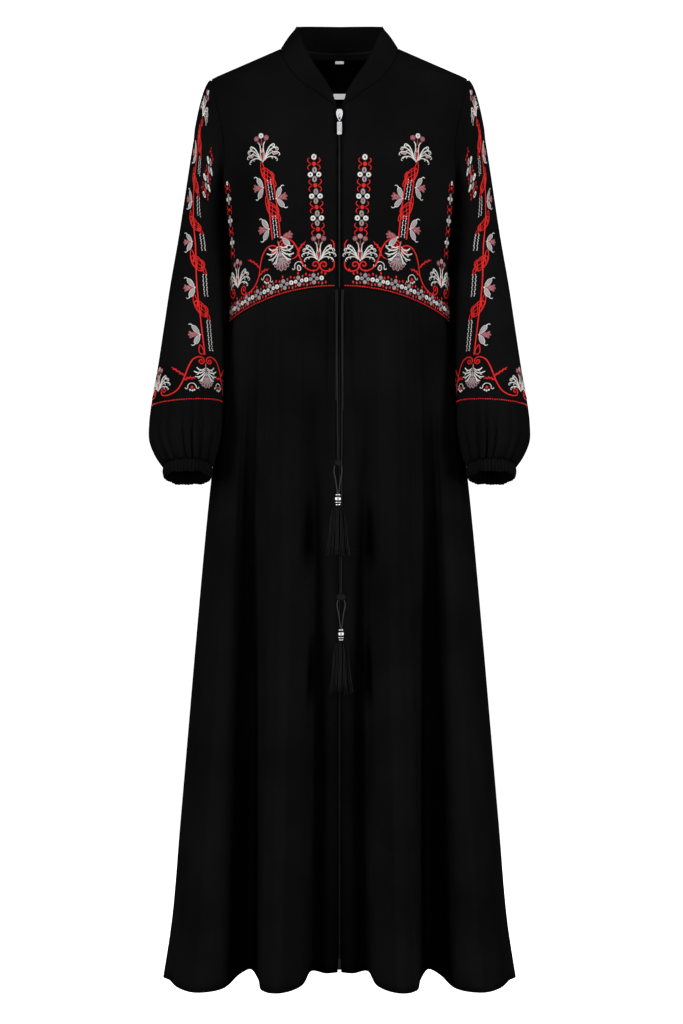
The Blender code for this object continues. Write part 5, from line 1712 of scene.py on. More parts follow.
@dataclass
class Needlework:
    """Strokes of satin stitch, each a rounded ribbon of thread with its own width and rise."""

    solids: dict[Silk, list[tuple[Array, Array]]] = field(
        default_factory=lambda: {silk: [] for silk in Silk})
    across: tuple[float, ...] = (-1.0, -0.6, 0.0, 0.6, 1.0)
    rise: tuple[float, ...] = (0.0, 0.8, 1.0, 0.8, 0.0)
    tier: float = 0.22
    sunk: float = 0.15

    def stroke(self, place: Place, spine: Array, half: Array | float, silk: Silk,
               over: int = 0) -> None:
        """Add one ribbon.

        Args:
            place: the motif's place.
            spine: its middle line in the motif, shape (n, 2).
            half: half its width, one number or one for each point.
            silk: its colour.
            over: how many layers of thread it lies on.
        """
        line = place.put(spine)
        half = np.maximum(np.broadcast_to(half, (len(line),)) * place.size, 0.12)
        along = unit(np.gradient(line, axis=0))
        side = spots(along[:, 1], -along[:, 0])
        t, up = np.array(self.across), np.array(self.rise)
        plan = line[:, None] + (t * half[:, None])[..., None] * side[:, None]
        high = 0.25 + 0.28 * np.minimum(half, 2.0)
        lift = np.where(up > 0.0, over * self.tier + up * high[:, None], -self.sunk)
        flat = spots(walked(line)[:, None], t * half[:, None])
        self.solids[silk].append((np.concatenate([plan, lift[..., None]], axis=-1), flat))

    def line(self, place: Place, points: Line | Array, wide: float, silk: Silk, over: int = 0,
             ends: Flat = (1.0, 1.0), step: float = 1.3) -> None:
        """A smooth line through a few points, narrowed to a share of its width at its ends."""
        points = np.asarray(points, dtype=float)
        spine = resampled(points, max(4, int(walked(points)[-1] / step) + 1))
        s = np.linspace(0.0, 1.0, len(spine))
        near, far = np.clip(s / 0.3, 0.0, 1.0), np.clip((1.0 - s) / 0.3, 0.0, 1.0)
        half = 0.5 * wide * (ends[0] + (1.0 - ends[0]) * near) * (ends[1] + (1.0 - ends[1]) * far)
        self.stroke(place, spine, half, silk, over)

    def oval(self, place: Place, length: float, wide: float, silk: Silk, over: int = 0,
             full: float = 0.0) -> None:
        """A filled petal that starts at the place: an ellipse, fuller towards its tip by full."""
        turn = np.linspace(0.0, math.pi, 11)
        half = 0.5 * wide * np.sin(turn) * (1.0 - full * np.cos(turn))
        spine = spots(0.0, length * (1.0 - np.cos(turn)) / 2.0)
        self.stroke(place, spine, half, silk, over)

    def rim(self, place: Place, length: float, wide: float, silk: Silk, thick: float = 1.1,
            over: int = 0, full: float = 0.0) -> None:
        """Outline of the same petal as a closed line inside its edge."""
        turn = np.linspace(0.0, 2.0 * math.pi, 19)
        x = (0.5 * (wide - thick)) * np.sin(turn) * (1.0 - full * np.cos(turn))
        y = length / 2.0 - (length - thick) / 2.0 * np.cos(turn)
        self.stroke(place, spots(x, y), 0.5 * thick, silk, over)

    def dot(self, place: Place, radius: float, silk: Silk, over: int = 0) -> None:
        """A filled circle."""
        self.oval(place.at(0.0, -radius), 2.0 * radius, 2.0 * radius, silk, over)

    def pierced(self, place: Place, radius: float, silk: Silk, over: int = 0,
                hole: float = 0.24) -> None:
        """A circle with a hole in its middle."""
        thick = radius * (1.0 - hole)
        self.rim(place.at(0.0, -radius), 2.0 * radius, 2.0 * radius, silk, thick, over)

    # ---- flowers and leaves

    def claws(self, place: Place) -> None:
        """A red dot between four hooks that open up and down."""
        self.dot(place, 3.3, RED, 1)
        for turn in (0.0, 180.0):
            for side in place.at(0.0, 0.0, turn).sides():
                self.line(side, ((4.3, 0.6), (6.6, 1.8), (9.0, 4.2), (8.9, 7.2), (6.9, 9.0)), 1.5,
                          RED, ends=(0.7, 0.6))

    def four_petals(self, place: Place) -> None:
        """Two white round petals at the sides, two pinkish oval ones above and below."""
        for side in place.sides():
            self.pierced(side.at(6.2, 0.0), 4.1, WHITE)
        for turn in (0.0, 180.0):
            petal = place.at(0.0, 0.0, turn)
            self.rim(petal.at(0.0, 2.0), 9.4, 7.0, GREY, 1.3)
            self.rim(petal.at(0.0, 3.3), 6.8, 4.4, PINK, 1.5)

    def small_cross(self, place: Place, sides: Silk) -> None:
        """Four round petals set apart, the upper and lower ones pinkish with pale edges."""
        for turn in (0.0, 180.0):
            petal = place.at(0.0, 0.0, turn)
            self.rim(petal.at(0.0, 1.6), 6.6, 6.2, GREY, 1.4)
            self.dot(petal.at(0.0, 4.9), 1.8, PINK)
        for side in place.sides():
            self.pierced(side.at(4.7, 0.0), 2.9, sides, hole=0.2)

    def spray(self, place: Place, paired: bool = True) -> None:
        """A rose bud with a three-lobed tip, and one or two grey leaves with curled tips."""
        self.oval(place.at(0.0, 2.2), 13.4, 9.4, ROSE, full=0.15)
        for turn, x, reach in ((-30.0, 2.6, 4.6), (0.0, 0.0, 6.0), (30.0, -2.6, 4.6)):
            self.oval(place.at(x, 12.0, turn), reach, 4.0, ROSE, 1, full=0.2)
        for x, y, radius in ((0.0, 16.4, 1.1), (2.6, 13.4, 1.0), (-2.6, 11.4, 1.0), (0.8, 8.4, 1.0)):
            self.dot(place.at(x, y), radius, PINK, 2)
        for side in place.sides()[0 if paired else 1:]:
            leaf = side.at(0.6, 0.6, -58.0)
            self.oval(leaf.at(0.0, 1.0), 15.0, 7.0, GREY, full=0.2)
            self.rim(leaf.at(0.0, 0.6), 16.0, 7.8, WHITE, 0.9, 1, full=0.2)
            tip = ((0.0, 15.0), (-0.2, 18.0), (-2.0, 20.6), (-4.4, 20.4))
            self.line(leaf, tip, 1.6, WHITE, 1, (1.0, 0.6))
            self.line(leaf, ((0.0, 3.0), (0.5, 8.0), (0.0, 13.0)), 0.6, WHITE, 1, (0.6, 0.4))
        self.dot(place, 1.6, WHITE, 2)

    def wing(self, place: Place) -> None:
        """Half of a palmette: barbs that fan out and curl over, each with small lobes below it."""
        for k, (x, y) in enumerate(((15.5, 21.0), (20.5, 15.5), (22.5, 8.0), (19.0, 0.5))):
            hook = 3.8 - 0.4 * k
            barb = ((0.0, 0.0), (0.30 * x, 0.36 * y + 0.20 * x), (0.70 * x, 0.78 * y + 0.18 * x),
                    (x, y), (x + 0.25 * hook, y - 0.8 * hook), (x - 0.45 * hook, y - 1.1 * hook))
            self.line(place, barb, 1.9 - 0.1 * k, WHITE, 1, (0.5, 0.6))
            for share, drop in ((0.78, 3.4), (0.56, 2.6)):
                u, v = share * x, share * y + 0.17 * x
                lobe = ((u, v), (u + 0.8 * drop, v - 0.3 * drop), (u + 0.55 * drop, v - drop))
                self.line(place, lobe, 1.4, WHITE, 0, (0.8, 0.7))

    def palmette(self, place: Place, berry: Silk = PINK, pink: bool = False) -> None:
        """Three berries on a stem over a slim vase between two wings, some with pink lobes."""
        self.line(place, ((0.0, 31.0), (0.0, 22.0)), 1.1, ROSE)
        for x, y, silk in ((0.0, 35.0, berry), (7.4, 31.5, ROSE), (-7.4, 31.5, ROSE)):
            self.pierced(place.at(x, y), 3.8, silk)
            self.dot(place.at(x, y), 1.0, GREY, 1)
        for side in place.sides():
            stalk = ((0.6, 12.0), (2.2, 18.0), (3.0, 23.0), (5.6, 26.5))
            self.line(side, stalk, 1.5, WHITE, 1, (0.6, 0.6))
            self.line(side, ((2.2, 17.0), (2.8, 9.0), (1.6, 3.0), (0.2, -1.0)), 1.4, WHITE, 1)
            self.line(side, ((6.6, 28.5), (3.4, 26.0), (1.0, 22.0)), 0.9, ROSE, 0, (0.5, 0.8))
            self.wing(side.at(2.2, 1.0))
            if pink:
                self.oval(side.at(15.5, 8.0, -78.0), 7.5, 4.0, PINK)
        self.pierced(place.at(0.0, 16.5), 1.7, RED, 1)
        self.oval(place.at(0.0, 3.0), 9.5, 2.8, RED)

    def blossom(self, place: Place) -> None:
        """A hanging thistle: lobed feather leaves at its sides and a fan of dull petals."""
        self.line(place, ((0.0, -7.0), (0.3, 0.0), (0.0, 8.0)), 1.6, PINK, 0, (0.5, 1.0))
        leaves = (((1.5, 1.0), (6.5, 4.5), (12.0, 4.0), (16.5, 0.0)),
                  ((2.0, 4.5), (8.5, 9.0), (15.5, 9.5), (21.5, 6.5)),
                  ((2.5, 8.0), (8.5, 14.0), (14.5, 16.5), (20.5, 16.0)),
                  ((2.5, 11.0), (6.5, 18.0), (10.0, 22.0), (14.5, 24.0)))
        for side in place.sides():
            for leaf in leaves:
                self.line(side, leaf, 2.4, WHITE, 1, (0.5, 0.8))
                x, y = leaf[2]
                lobe = ((x - 2.5, y - 0.8), (x - 1.5, y + 1.6), (x + 1.4, y + 3.0))
                self.line(side, lobe, 1.7, WHITE, 0, (0.9, 0.7))
            self.line(side, ((1.0, 9.0), (2.4, 15.0), (4.0, 21.0), (7.0, 26.0)), 1.2, GREY)
        self.oval(place.at(0.0, 7.0), 10.0, 3.6, GREY, full=0.3)
        self.dot(place.at(0.0, 16.5), 1.5, ROSE, 1)
        for k in range(6):
            turn = -50.0 + 20.0 * k
            petal = place.at(0.0, 18.0, turn)
            reach = 20.0 - 0.07 * abs(turn)
            self.rim(petal, reach, 6.0, GREY if k % 2 else PINK, 1.3, full=0.35)
            self.oval(petal.at(0.0, 0.55 * reach), 0.3 * reach, 1.9, ROSE, full=0.2)

    def arch(self, place: Place, heart: Silk, drop: bool) -> None:
        """A white arch with curled feet over a pierced drop, or over a dot and three small ones."""
        half = np.concatenate([curl((0.0, -2.0), (6.4, 6.4), 90.0, -0.22),
                               curl((8.9, -3.0), (2.6, 1.0), 180.0, 0.6)])
        for side in place.sides():
            self.line(side, half, 1.3, WHITE)
        if drop:
            self.rim(place.at(0.4, -9.0), 9.0, 6.4, WHITE, 1.5, full=-0.3)
            self.dot(place.at(0.4, -4.6), 1.3, heart, 1)
        else:
            self.dot(place.at(0.0, -2.6), 2.3, heart)
            for x in (-3.2, 0.0, 3.2):
                self.dot(place.at(x, -8.0 + 0.12 * x * x), 1.6, WHITE)

    # ---- stems

    def vine(self, place: Place, inner: Array, middle: Line, outer: Array) -> None:
        """A red scroll: a spiral, a few points of its sweep and another spiral."""
        points = np.concatenate([inner[::-1], np.array(middle), outer])
        self.line(place, points, 2.3, RED, 0, (0.8, 0.8))

    def thorny(self, place: Place, points: Line, wide: float = 2.2) -> None:
        """A red branch with short thorns on alternate sides."""
        self.line(place, points, wide, RED, 0, (1.0, 0.4))
        path = resampled(np.asarray(points, dtype=float), 9)
        along = unit(np.gradient(path, axis=0))
        for k in range(2, 8, 2):
            for way, slip in ((1.0, 0), (-1.0, 1)):
                root, ahead = path[k - slip], along[k - slip]
                tip = root + 2.2 * ahead + way * 2.6 * np.array([-ahead[1], ahead[0]])
                thorn = (root, 0.5 * (root + tip) + 0.3 * ahead, tip)
                self.line(place, thorn, 1.6, RED, 0, (1.0, 0.4))

    def net(self, place: Place) -> None:
        """A knot of red net: a slanted oval crossed by chords, a loop above and a tail below."""
        long, wide = 30.0, 16.0
        body = place.at(7.5, -15.5, 32.0)
        self.rim(body, long, wide, RED, 1.7, 1)
        for tilt in (math.radians(32.0), math.radians(128.0)):
            along = np.array([math.cos(tilt), math.sin(tilt)])
            across = np.array([along[1], -along[0]])
            for step in (-0.6, 0.0, 0.6):
                ways = math.sqrt(1.0 - step ** 2) * np.array([[-1.0], [0.0], [1.0]])
                chord = 0.46 * np.array([wide, long]) * (step * across + ways * along)
                self.line(body, chord + [0.0, long / 2.0], 1.3, RED)
        self.rim(place.at(-7.0, -1.0, 6.0), 21.0, 7.5, RED, 1.5, full=-0.35)
        self.rim(place.at(7.0, -8.0, -158.0), 14.0, 6.2, RED, 1.6, full=-0.3)
        bow = ((6.0, 3.0), (10.0, -2.0), (9.0, -9.0), (4.0, -11.0))
        self.line(place, bow, 1.6, RED, 1, (0.7, 0.7))

    def beaded(self, place: Place, low: float, high: float, silk: Silk) -> None:
        """An upright thin line with small beads along it."""
        self.line(place, ((0.0, low), (0.0, high)), 0.9, silk, step=3.0)
        count = int((high - low) / 3.1)
        for k, y in enumerate(np.linspace(low + 1.0, high - 1.0, count)):
            self.oval(place.at(0.0, y - 1.0, 22.0 if k % 2 else -22.0), 2.3, 1.5, WHITE, 1)

    def rope(self, path: Array) -> None:
        """A row of slanted red grains along a path, a little apart."""
        pitch, long, wide = 3.5, 2.9, 2.2
        grains = resampled(path, int(walked(path)[-1] / pitch))
        angle = np.degrees(np.arctan2(*np.gradient(grains, axis=0).T[::-1]))
        for (x, y), a in zip(grains, angle):
            self.oval(Place(x, y, a - 68.0).at(0.0, -long / 2.0), long, wide, RED)

    # ---- on the cloth

    def lay(self, name: str, ground: Ground, finishes: Finishes,
            shear: Callable[[Array], Array]) -> None:
        """Lay the strokes on both sides of the garment, one piece for each colour.

        Args:
            name: first word of the pieces' names.
            ground: the cloth of the +X side.
            finishes: the garment's materials.
            shear: moves points of the drawing to the ground's plan.
        """
        for silk, solids in self.solids.items():
            if not solids:
                continue
            parts, flats = [], []
            for solid, flat in solids:
                rows, cols = solid.shape[:2]
                plan = shear(solid[..., :2].reshape(-1, 2)) * 0.001
                points = ground.lay(plan, solid[..., 2].ravel() * 0.001)
                last = (rows - 1) * cols
                caps = [[4, 3, 1, 0], [last, last + 1, last + 3, last + 4]]
                under = np.arange(rows - 1)[:, None] * cols + np.array([4, 0, cols, cols + 4])
                quads = np.concatenate([grid_quads(rows, cols, False), under, caps])
                tris = np.array([[3, 2, 1], [last + 1, last + 2, last + 3]])
                parts += [(points, quads, tris), (mirrored(points), quads[:, ::-1], tris[:, ::-1])]
                flats += [flat.reshape(-1, 2) * 0.001] * 2
            piece = f"{name}_{silk.value}"
            mesh = mesh_from(piece, *joined(parts), uv=np.concatenate(flats))
            add_piece(piece, mesh, getattr(finishes, silk.value))


@dataclass(frozen=True)
class Spray:
    """Where a spray grows from a column, and which way its bud points."""

    x: float
    y: float
    turn: float
    paired: bool = True


@dataclass
class ChestWork:
    """Embroidery of a front: a chain by the zip, a column, scrolls and the waist border.

    Drawn in millimetres on the way round from the centre front and the height.
    """

    bodice: Bodice
    chain_top: Flat = (37.5, -180.0)
    chain_step: Flat = (-2.0, -32.0)
    side_chain_top: Flat = (193.0, -206.0)
    side_chain_step: Flat = (-0.8, -32.0)
    side_chain_size: float = 0.74
    column_top: Flat = (110.0, -178.0)
    column_end: Flat = (95.0, -290.0)
    rail_half: float = 6.4
    sprays: tuple[Spray, ...] = (Spray(117.0, -212.0, -92.0), Spray(95.0, -229.0, 80.0),
                                 Spray(108.0, -273.0, -96.0), Spray(87.0, -286.0, 76.0, False))
    cross_step: float = 23.0
    seam_reach: Flat = (0.006, 0.217)
    fruit: tuple[tuple[float, float, Silk], ...] = (
        (6.2, 6.0, RED), (11.5, 8.0, RED), (16.8, 6.0, ROSE), (6.2, -6.2, RED),
        (11.5, -7.4, ROSE), (16.8, -6.2, RED), (0.0, 11.4, RED),
    )

    def chain(self, work: Needlework, top: Flat, step: Flat, size: float = 1.0) -> None:
        """A white drop, and then dots with hooks and flowers between them."""
        place = Place(*top, size=size)
        work.rim(place.at(0.0, 5.5), 9.5, 8.0, WHITE, 3.0)
        for k in range(4):
            x, y = step[0] * k / size, step[1] * k / size
            work.claws(place.at(x, y))
            if k < 3:
                work.four_petals(place.at(x + 0.5 * step[0] / size, y + 0.5 * step[1] / size))

    def column(self, work: Needlework) -> None:
        """Two red rails, pale lines between them, net knots, sprays and a palmette on top."""
        (x0, y0), (x1, y1) = self.column_top, self.column_end
        tilt = math.degrees(math.atan2(x1 - x0, y0 - y1))
        long = math.hypot(x1 - x0, y1 - y0)
        place = Place(x0, y0, tilt)
        rail = ((0.0, -14.0), (0.6, -50.0), (0.0, 2.0 - long))
        for side in place.sides():
            work.line(side.at(self.rail_half, 0.0), rail, 2.4, RED)
            work.beaded(side.at(2.4, 0.0), -0.47 * long, -0.20 * long, BLUE)
            work.beaded(side.at(2.4, 0.0), 4.0 - long, -0.68 * long, BLUE)
        for y in (-14.0, -0.58 * long):
            work.net(place.at(1.0, y, 4.0, flip=True))
        for spray in self.sprays:
            work.spray(Place(spray.x, spray.y, spray.turn), spray.paired)
        work.palmette(Place(x0 + 6.5, y0 + 5.0, -3.0, 1.1), WHITE, True)

    def scrolls(self, work: Needlework) -> None:
        """Scrolls between the palmettes and the hanging blossom, with arches under them."""
        plan = Place()
        work.vine(plan, curl((36.0, -327.0), (8.6, 1.6), -80.0, -1.3),
                  ((50.0, -331.0), (58.0, -318.0), (63.5, -302.0), (71.5, -291.5), (80.0, -288.5)),
                  curl((85.0, -297.5), (7.0, 1.4), 72.0, -1.5))
        work.vine(plan, curl((99.0, -305.0), (7.0, 1.4), 100.0, 1.5),
                  ((109.0, -299.0), (117.0, -307.0), (122.5, -321.0), (127.0, -341.0),
                   (137.0, -357.5), (146.0, -364.0)),
                  curl((156.5, -357.5), (8.2, 1.5), -95.0, 1.4))
        work.vine(plan, curl((22.5, -327.5), (8.6, 1.6), -100.0, 1.3),
                  ((14.0, -336.0), (8.5, -331.0)), np.array([(7.5, -322.0)]))
        work.vine(plan, curl((187.0, -360.0), (8.2, 1.5), -95.0, -1.3),
                  ((199.0, -364.0), (206.0, -352.0)), np.array([(210.0, -336.0)]))
        work.line(plan, ((12.5, -291.0), (8.6, -295.5), (7.6, -304.0)), 1.9, RED, 0, (0.5, 0.8))
        work.thorny(plan, ((62.0, -314.0), (59.5, -304.0), (50.0, -293.0)))
        work.thorny(plan, ((124.0, -329.0), (136.0, -320.0), (150.0, -315.0)))
        work.thorny(plan, ((127.0, -341.0), (117.0, -333.0), (108.0, -330.5)), 1.8)
        work.line(plan, ((60.5, -309.0), (66.0, -316.0), (71.0, -318.0)), 1.7, RED, 0, (1.0, 0.4))
        work.palmette(Place(30.5, -321.0))
        work.palmette(Place(172.0, -353.0, -4.0, 1.08))
        work.blossom(Place(91.5, -298.0, 168.0))
        work.arch(Place(61.0, -326.5, -14.0), ROSE, True)
        work.arch(Place(111.0, -343.5, 14.0), RED, False)

    def seam(self, above: float, count: int = 60) -> Array:
        """Points of the plan a little above the waist seam."""
        form = self.bodice.form
        turn = np.linspace(0.0, math.pi / 2.0, count)
        z = form.seam_z(turn, Face.FRONT)
        x = form.half_width(z) * np.sin(turn)
        way = walked(spots(x, form.depth(z, Face.FRONT) * np.cos(turn)))
        start, end = self.seam_reach
        kept = (way > start) & (way < end)
        return spots(way, z + above)[kept] * 1000.0

    def border(self, work: Needlework) -> None:
        """Rope at the seam and a band of small crosses, berries and drops over it."""
        work.rope(self.seam(0.0028))
        middle = self.seam(0.0145)
        way = walked(middle)
        slope = np.degrees(np.arctan2(*np.gradient(middle, axis=0).T[::-1]))

        def on(gone: float, up: float = 0.0) -> Place:
            """Place on the band at a way along it."""
            x, y, a = (float(np.interp(gone, way, column)) for column in (*middle.T, slope))
            return Place(x, y, a).at(0.0, up)

        count = int((way[-1] - 10.0) / self.cross_step)
        for k in range(count + 1):
            centre = 29.0 + self.cross_step * (k - 1)
            if 7.0 < centre < way[-1] - 7.0:
                work.small_cross(on(centre), GREY if k % 2 else WHITE)
            if 3.0 < centre + 11.5 < way[-1] - 3.0:
                work.pierced(on(centre + 11.5), 3.6, WHITE, hole=0.2)
            for step, up, silk in self.fruit:
                if 2.0 < centre + step < way[-1] - 3.0:
                    work.oval(on(centre + step, up - 2.0).at(0.0, 0.0, 16.0), 4.2, 2.9, silk)

    def build(self, finishes: Finishes) -> None:
        """Draw the work and lay it on both fronts."""
        work = Needlework()
        self.chain(work, self.chain_top, self.chain_step)
        self.chain(work, self.side_chain_top, self.side_chain_step, self.side_chain_size)
        self.column(work)
        self.scrolls(work)
        self.border(work)
        work.lay("chest_stitched", bodice_ground(self.bodice), finishes, lambda plan: plan)


@dataclass
class SleeveWork:
    """Embroidery of a sleeve: a leaning column, a short chain beside it and a border.

    Drawn in millimetres across from the column and, as negative numbers, down the sleeve.
    """

    sleeve: Sleeve
    start: float = 12.0
    lean: float = 0.215
    knots: tuple[float, ...] = (-82.0, -148.0, -220.0, -292.0, -364.0)
    spray_step: float = 74.5
    first_spray: float = -110.0
    ladder_x: float = 9.0
    border_y: float = -460.0
    rope_y: float = -511.0
    repeat: float = 164.0
    girth: float = 329.0
    drop: float = 4.0
    drop_from: float = -380.0
    drop_over: float = 100.0

    def column(self, work: Needlework) -> None:
        """Stem, net knots, beaded lines between them, and sprays on both sides."""
        plan = Place()
        work.palmette(Place(0.0, -46.0, 0.0, 0.95), WHITE, True)
        work.line(plan, curl((0.0, -56.0), (6.5, 2.0), 90.0, -1.3), 1.9, RED)
        stem = ((0.0, -60.0), (-1.5, -150.0), (0.0, -250.0), (-1.5, -350.0), (0.0, -440.0))
        work.line(plan, stem, 2.3, RED)
        for y in self.knots:
            work.net(Place(2.0, y))
        for low, high in zip(self.knots[1:] + (-450.0,), self.knots):
            for x in (self.ladder_x, self.ladder_x + 5.0):
                work.beaded(Place(x), low + 17.0, high - 20.0, GREY)
        work.rim(Place(-4.0, -440.0, 8.0), 17.0, 9.0, RED, 1.8, full=-0.5)
        for k in range(5):
            work.spray(Place(-5.0, self.first_spray - self.spray_step * k, 92.0))
        work.claws(Place(56.0, -64.0, -24.0, 0.8))
        for x, y in ((49.0, -86.0), (38.0, -122.0)):
            work.four_petals(Place(x, y, -18.0, 1.25))
            work.claws(Place(x - 6.0, y - 19.0, -18.0, 1.0))
        work.rim(Place(28.0, -156.0), 10.0, 8.0, WHITE, 2.4)

    def border(self, work: Needlework) -> None:
        """Scrolls, palmettes and blossoms round the sleeve over a rope."""
        for k in range(2):
            centre = Place(-self.repeat * k, self.border_y)
            work.blossom(centre.at(0.0, 0.0, 180.0, 0.9))
            for side in centre.sides():
                work.vine(side, curl((-7.0, 10.0), (7.0, 1.4), 100.0, -1.5),
                          ((-17.5, 14.0), (-26.0, 3.0), (-31.5, -9.0), (-38.0, -23.0),
                           (-48.0, -36.0), (-58.0, -40.5)),
                          curl((-69.0, -33.5), (7.6, 1.5), -85.0, -1.4))
                work.thorny(side, ((-33.0, -13.0), (-43.0, -5.0), (-53.0, 3.0)))
                work.thorny(side, ((-35.0, -19.0), (-26.0, -16.0), (-18.0, -18.0)), 1.8)
                work.arch(side.at(-24.0, -29.0), RED, False)
            work.palmette(centre.at(-0.5 * self.repeat, -31.0))
        around = np.linspace(-self.girth / 2.0, self.girth / 2.0, 60)
        work.rope(spots(around, self.rope_y))

    def leaned(self, plan: Array) -> Array:
        """Points of the drawing on the sleeve's plan.

        The column drifts forward on its way down, and near the end the rows drop by a
        wave that is lowest between the outer line and the front.
        """
        x = plan[:, 0] + self.start - self.lean * plan[:, 1]
        turn = 2.0 * math.pi * x / self.girth
        low = np.clip((self.drop_from - plan[:, 1]) / self.drop_over, 0.0, 1.0)
        return spots(x, plan[:, 1] - low * self.drop * (np.cos(turn) + np.sin(turn)))

    def build(self, finishes: Finishes) -> None:
        """Draw the work and lay it on both sleeves."""
        work = Needlework()
        self.column(work)
        self.border(work)
        work.lay("sleeve_stitched", sleeve_ground(self.sleeve), finishes, self.leaned)


# ------------------------------------------------------------------ finishes

SEWN_HALF = 0.0005       # half-width of a line of sewing
SEWN_STEP = 0.0028       # length of one stitch


def feed(tree: Tree, value: Socket | float, socket: Socket) -> None:
    """Put a number on an input socket, or link another socket to it."""
    if isinstance(value, Socket):
        tree.links.new(value, socket)
    else:
        socket.default_value = value


def sums(tree: Tree, operation: str, *values: Socket | float) -> Socket:
    """Output of a Math node with the given sockets or numbers on its inputs."""
    node = tree.nodes.new("ShaderNodeMath")
    node.operation = operation
    for socket, value in zip(node.inputs, values):
        feed(tree, value, socket)
    return node.outputs[0]


def noise(tree: Tree, place: Socket, scale: Socket | float, detail: float) -> Socket:
    """Value of a Noise texture read at place."""
    node = tree.nodes.new("ShaderNodeTexNoise")
    node.inputs["Detail"].default_value = detail
    tree.links.new(place, node.inputs["Vector"])
    feed(tree, scale, node.inputs["Scale"])
    return node.outputs["Fac"]


def split(tree: Tree, place: Socket) -> list[Socket]:
    """The three coordinates of a place."""
    node = tree.nodes.new("ShaderNodeSeparateXYZ")
    tree.links.new(place, node.inputs[0])
    return list(node.outputs)


def pebbles(tree: Tree, place: Socket, scale: Socket, coarse: Socket) -> Socket:
    """Grain of crepe: fine noise with a coarser, fainter one over it."""
    fine = noise(tree, place, scale, 2.0)
    over = noise(tree, place, sums(tree, "MULTIPLY", scale, 0.22), 3.0)
    return sums(tree, "ADD", fine, sums(tree, "MULTIPLY", over, coarse))


def plain_weave(tree: Tree, place: Socket, threads: Socket) -> Socket:
    """Plain weave: half of one plus the product of sines along the two threads."""
    x, y, _ = split(tree, place)
    turn = sums(tree, "MULTIPLY", threads, math.pi)
    warp = sums(tree, "SINE", sums(tree, "MULTIPLY", x, turn))
    weft = sums(tree, "SINE", sums(tree, "MULTIPLY", y, turn))
    return sums(tree, "MULTIPLY_ADD", sums(tree, "MULTIPLY", warp, weft), 0.5, 0.5)


def satin_stitch(tree: Tree, place: Socket, threads: Socket, slant: Socket) -> Socket:
    """Satin stitch: the size of a sine, rounded threads side by side along the first way."""
    x, y, _ = split(tree, place)
    across = sums(tree, "MULTIPLY_ADD", y, slant, x)
    turn = sums(tree, "MULTIPLY", across, sums(tree, "MULTIPLY", threads, math.pi))
    return sums(tree, "ABSOLUTE", sums(tree, "SINE", turn))


def stitch_line(tree: Tree, place: Socket, at: Socket) -> Socket:
    """Line of sewing: dashes along the first coordinate at one value of the second."""
    x, y, _ = split(tree, place)
    away = sums(tree, "ABSOLUTE", sums(tree, "SUBTRACT", y, at))
    line = sums(tree, "SUBTRACT", 1.0, sums(tree, "DIVIDE", away, SEWN_HALF))
    line = sums(tree, "MAXIMUM", line, 0.0)
    dash = sums(tree, "SINE", sums(tree, "MULTIPLY", x, 2.0 * math.pi / SEWN_STEP))
    return sums(tree, "MULTIPLY", line, sums(tree, "MULTIPLY_ADD", dash, 0.4, 0.6))


def node_group(name: str, wire: Callable[..., Socket], **numbers: float) -> Tree:
    """A shader group that takes a place and some numbers and puts out one height.

    Args:
        name: name of the group.
        wire: makes the nodes from the tree and the inputs, and returns what to put out.
        numbers: the starting value of each number, by the name that wire calls it.

    Returns:
        The group, whose inputs have the same names with a capital.
    """
    tree = bpy.data.node_groups.new(name, "ShaderNodeTree")
    tree.interface.new_socket("Place", in_out="INPUT", socket_type="NodeSocketVector")
    for word, value in numbers.items():
        socket = tree.interface.new_socket(word.capitalize(), in_out="INPUT",
                                           socket_type="NodeSocketFloat")
        socket.default_value = value
    tree.interface.new_socket("Height", in_out="OUTPUT", socket_type="NodeSocketFloat")
    start = tree.nodes.new("NodeGroupInput")
    end = tree.nodes.new("NodeGroupOutput")
    taken = {word: start.outputs[word.capitalize()] for word in ("place", *numbers)}
    tree.links.new(wire(tree, **taken), end.inputs["Height"])
    return tree


@dataclass(frozen=True)
class Weave:
    """Groups that the finishes share, made once."""

    grain: Tree
    plain: Tree
    satin: Tree
    sewing: Tree

    @classmethod
    def made(cls) -> Weave:
        """Make the four groups."""
        return cls(
            node_group("crepe_grain", pebbles, scale=1500.0, coarse=0.6),
            node_group("plain_weave", plain_weave, threads=2400.0),
            node_group("satin_stitch", satin_stitch, threads=3200.0, slant=0.25),
            node_group("stitch_line", stitch_line, at=0.02))


def surface(name: str, values: dict[str, object]) -> tuple[Material, Tree, Node]:
    """A new material, its tree, and its shader with these values on its inputs."""
    made = bpy.data.materials.new(name)
    made.use_nodes = True
    shader = made.node_tree.nodes["Principled BSDF"]
    for label, value in values.items():
        shader.inputs[label].default_value = value
    return made, made.node_tree, shader


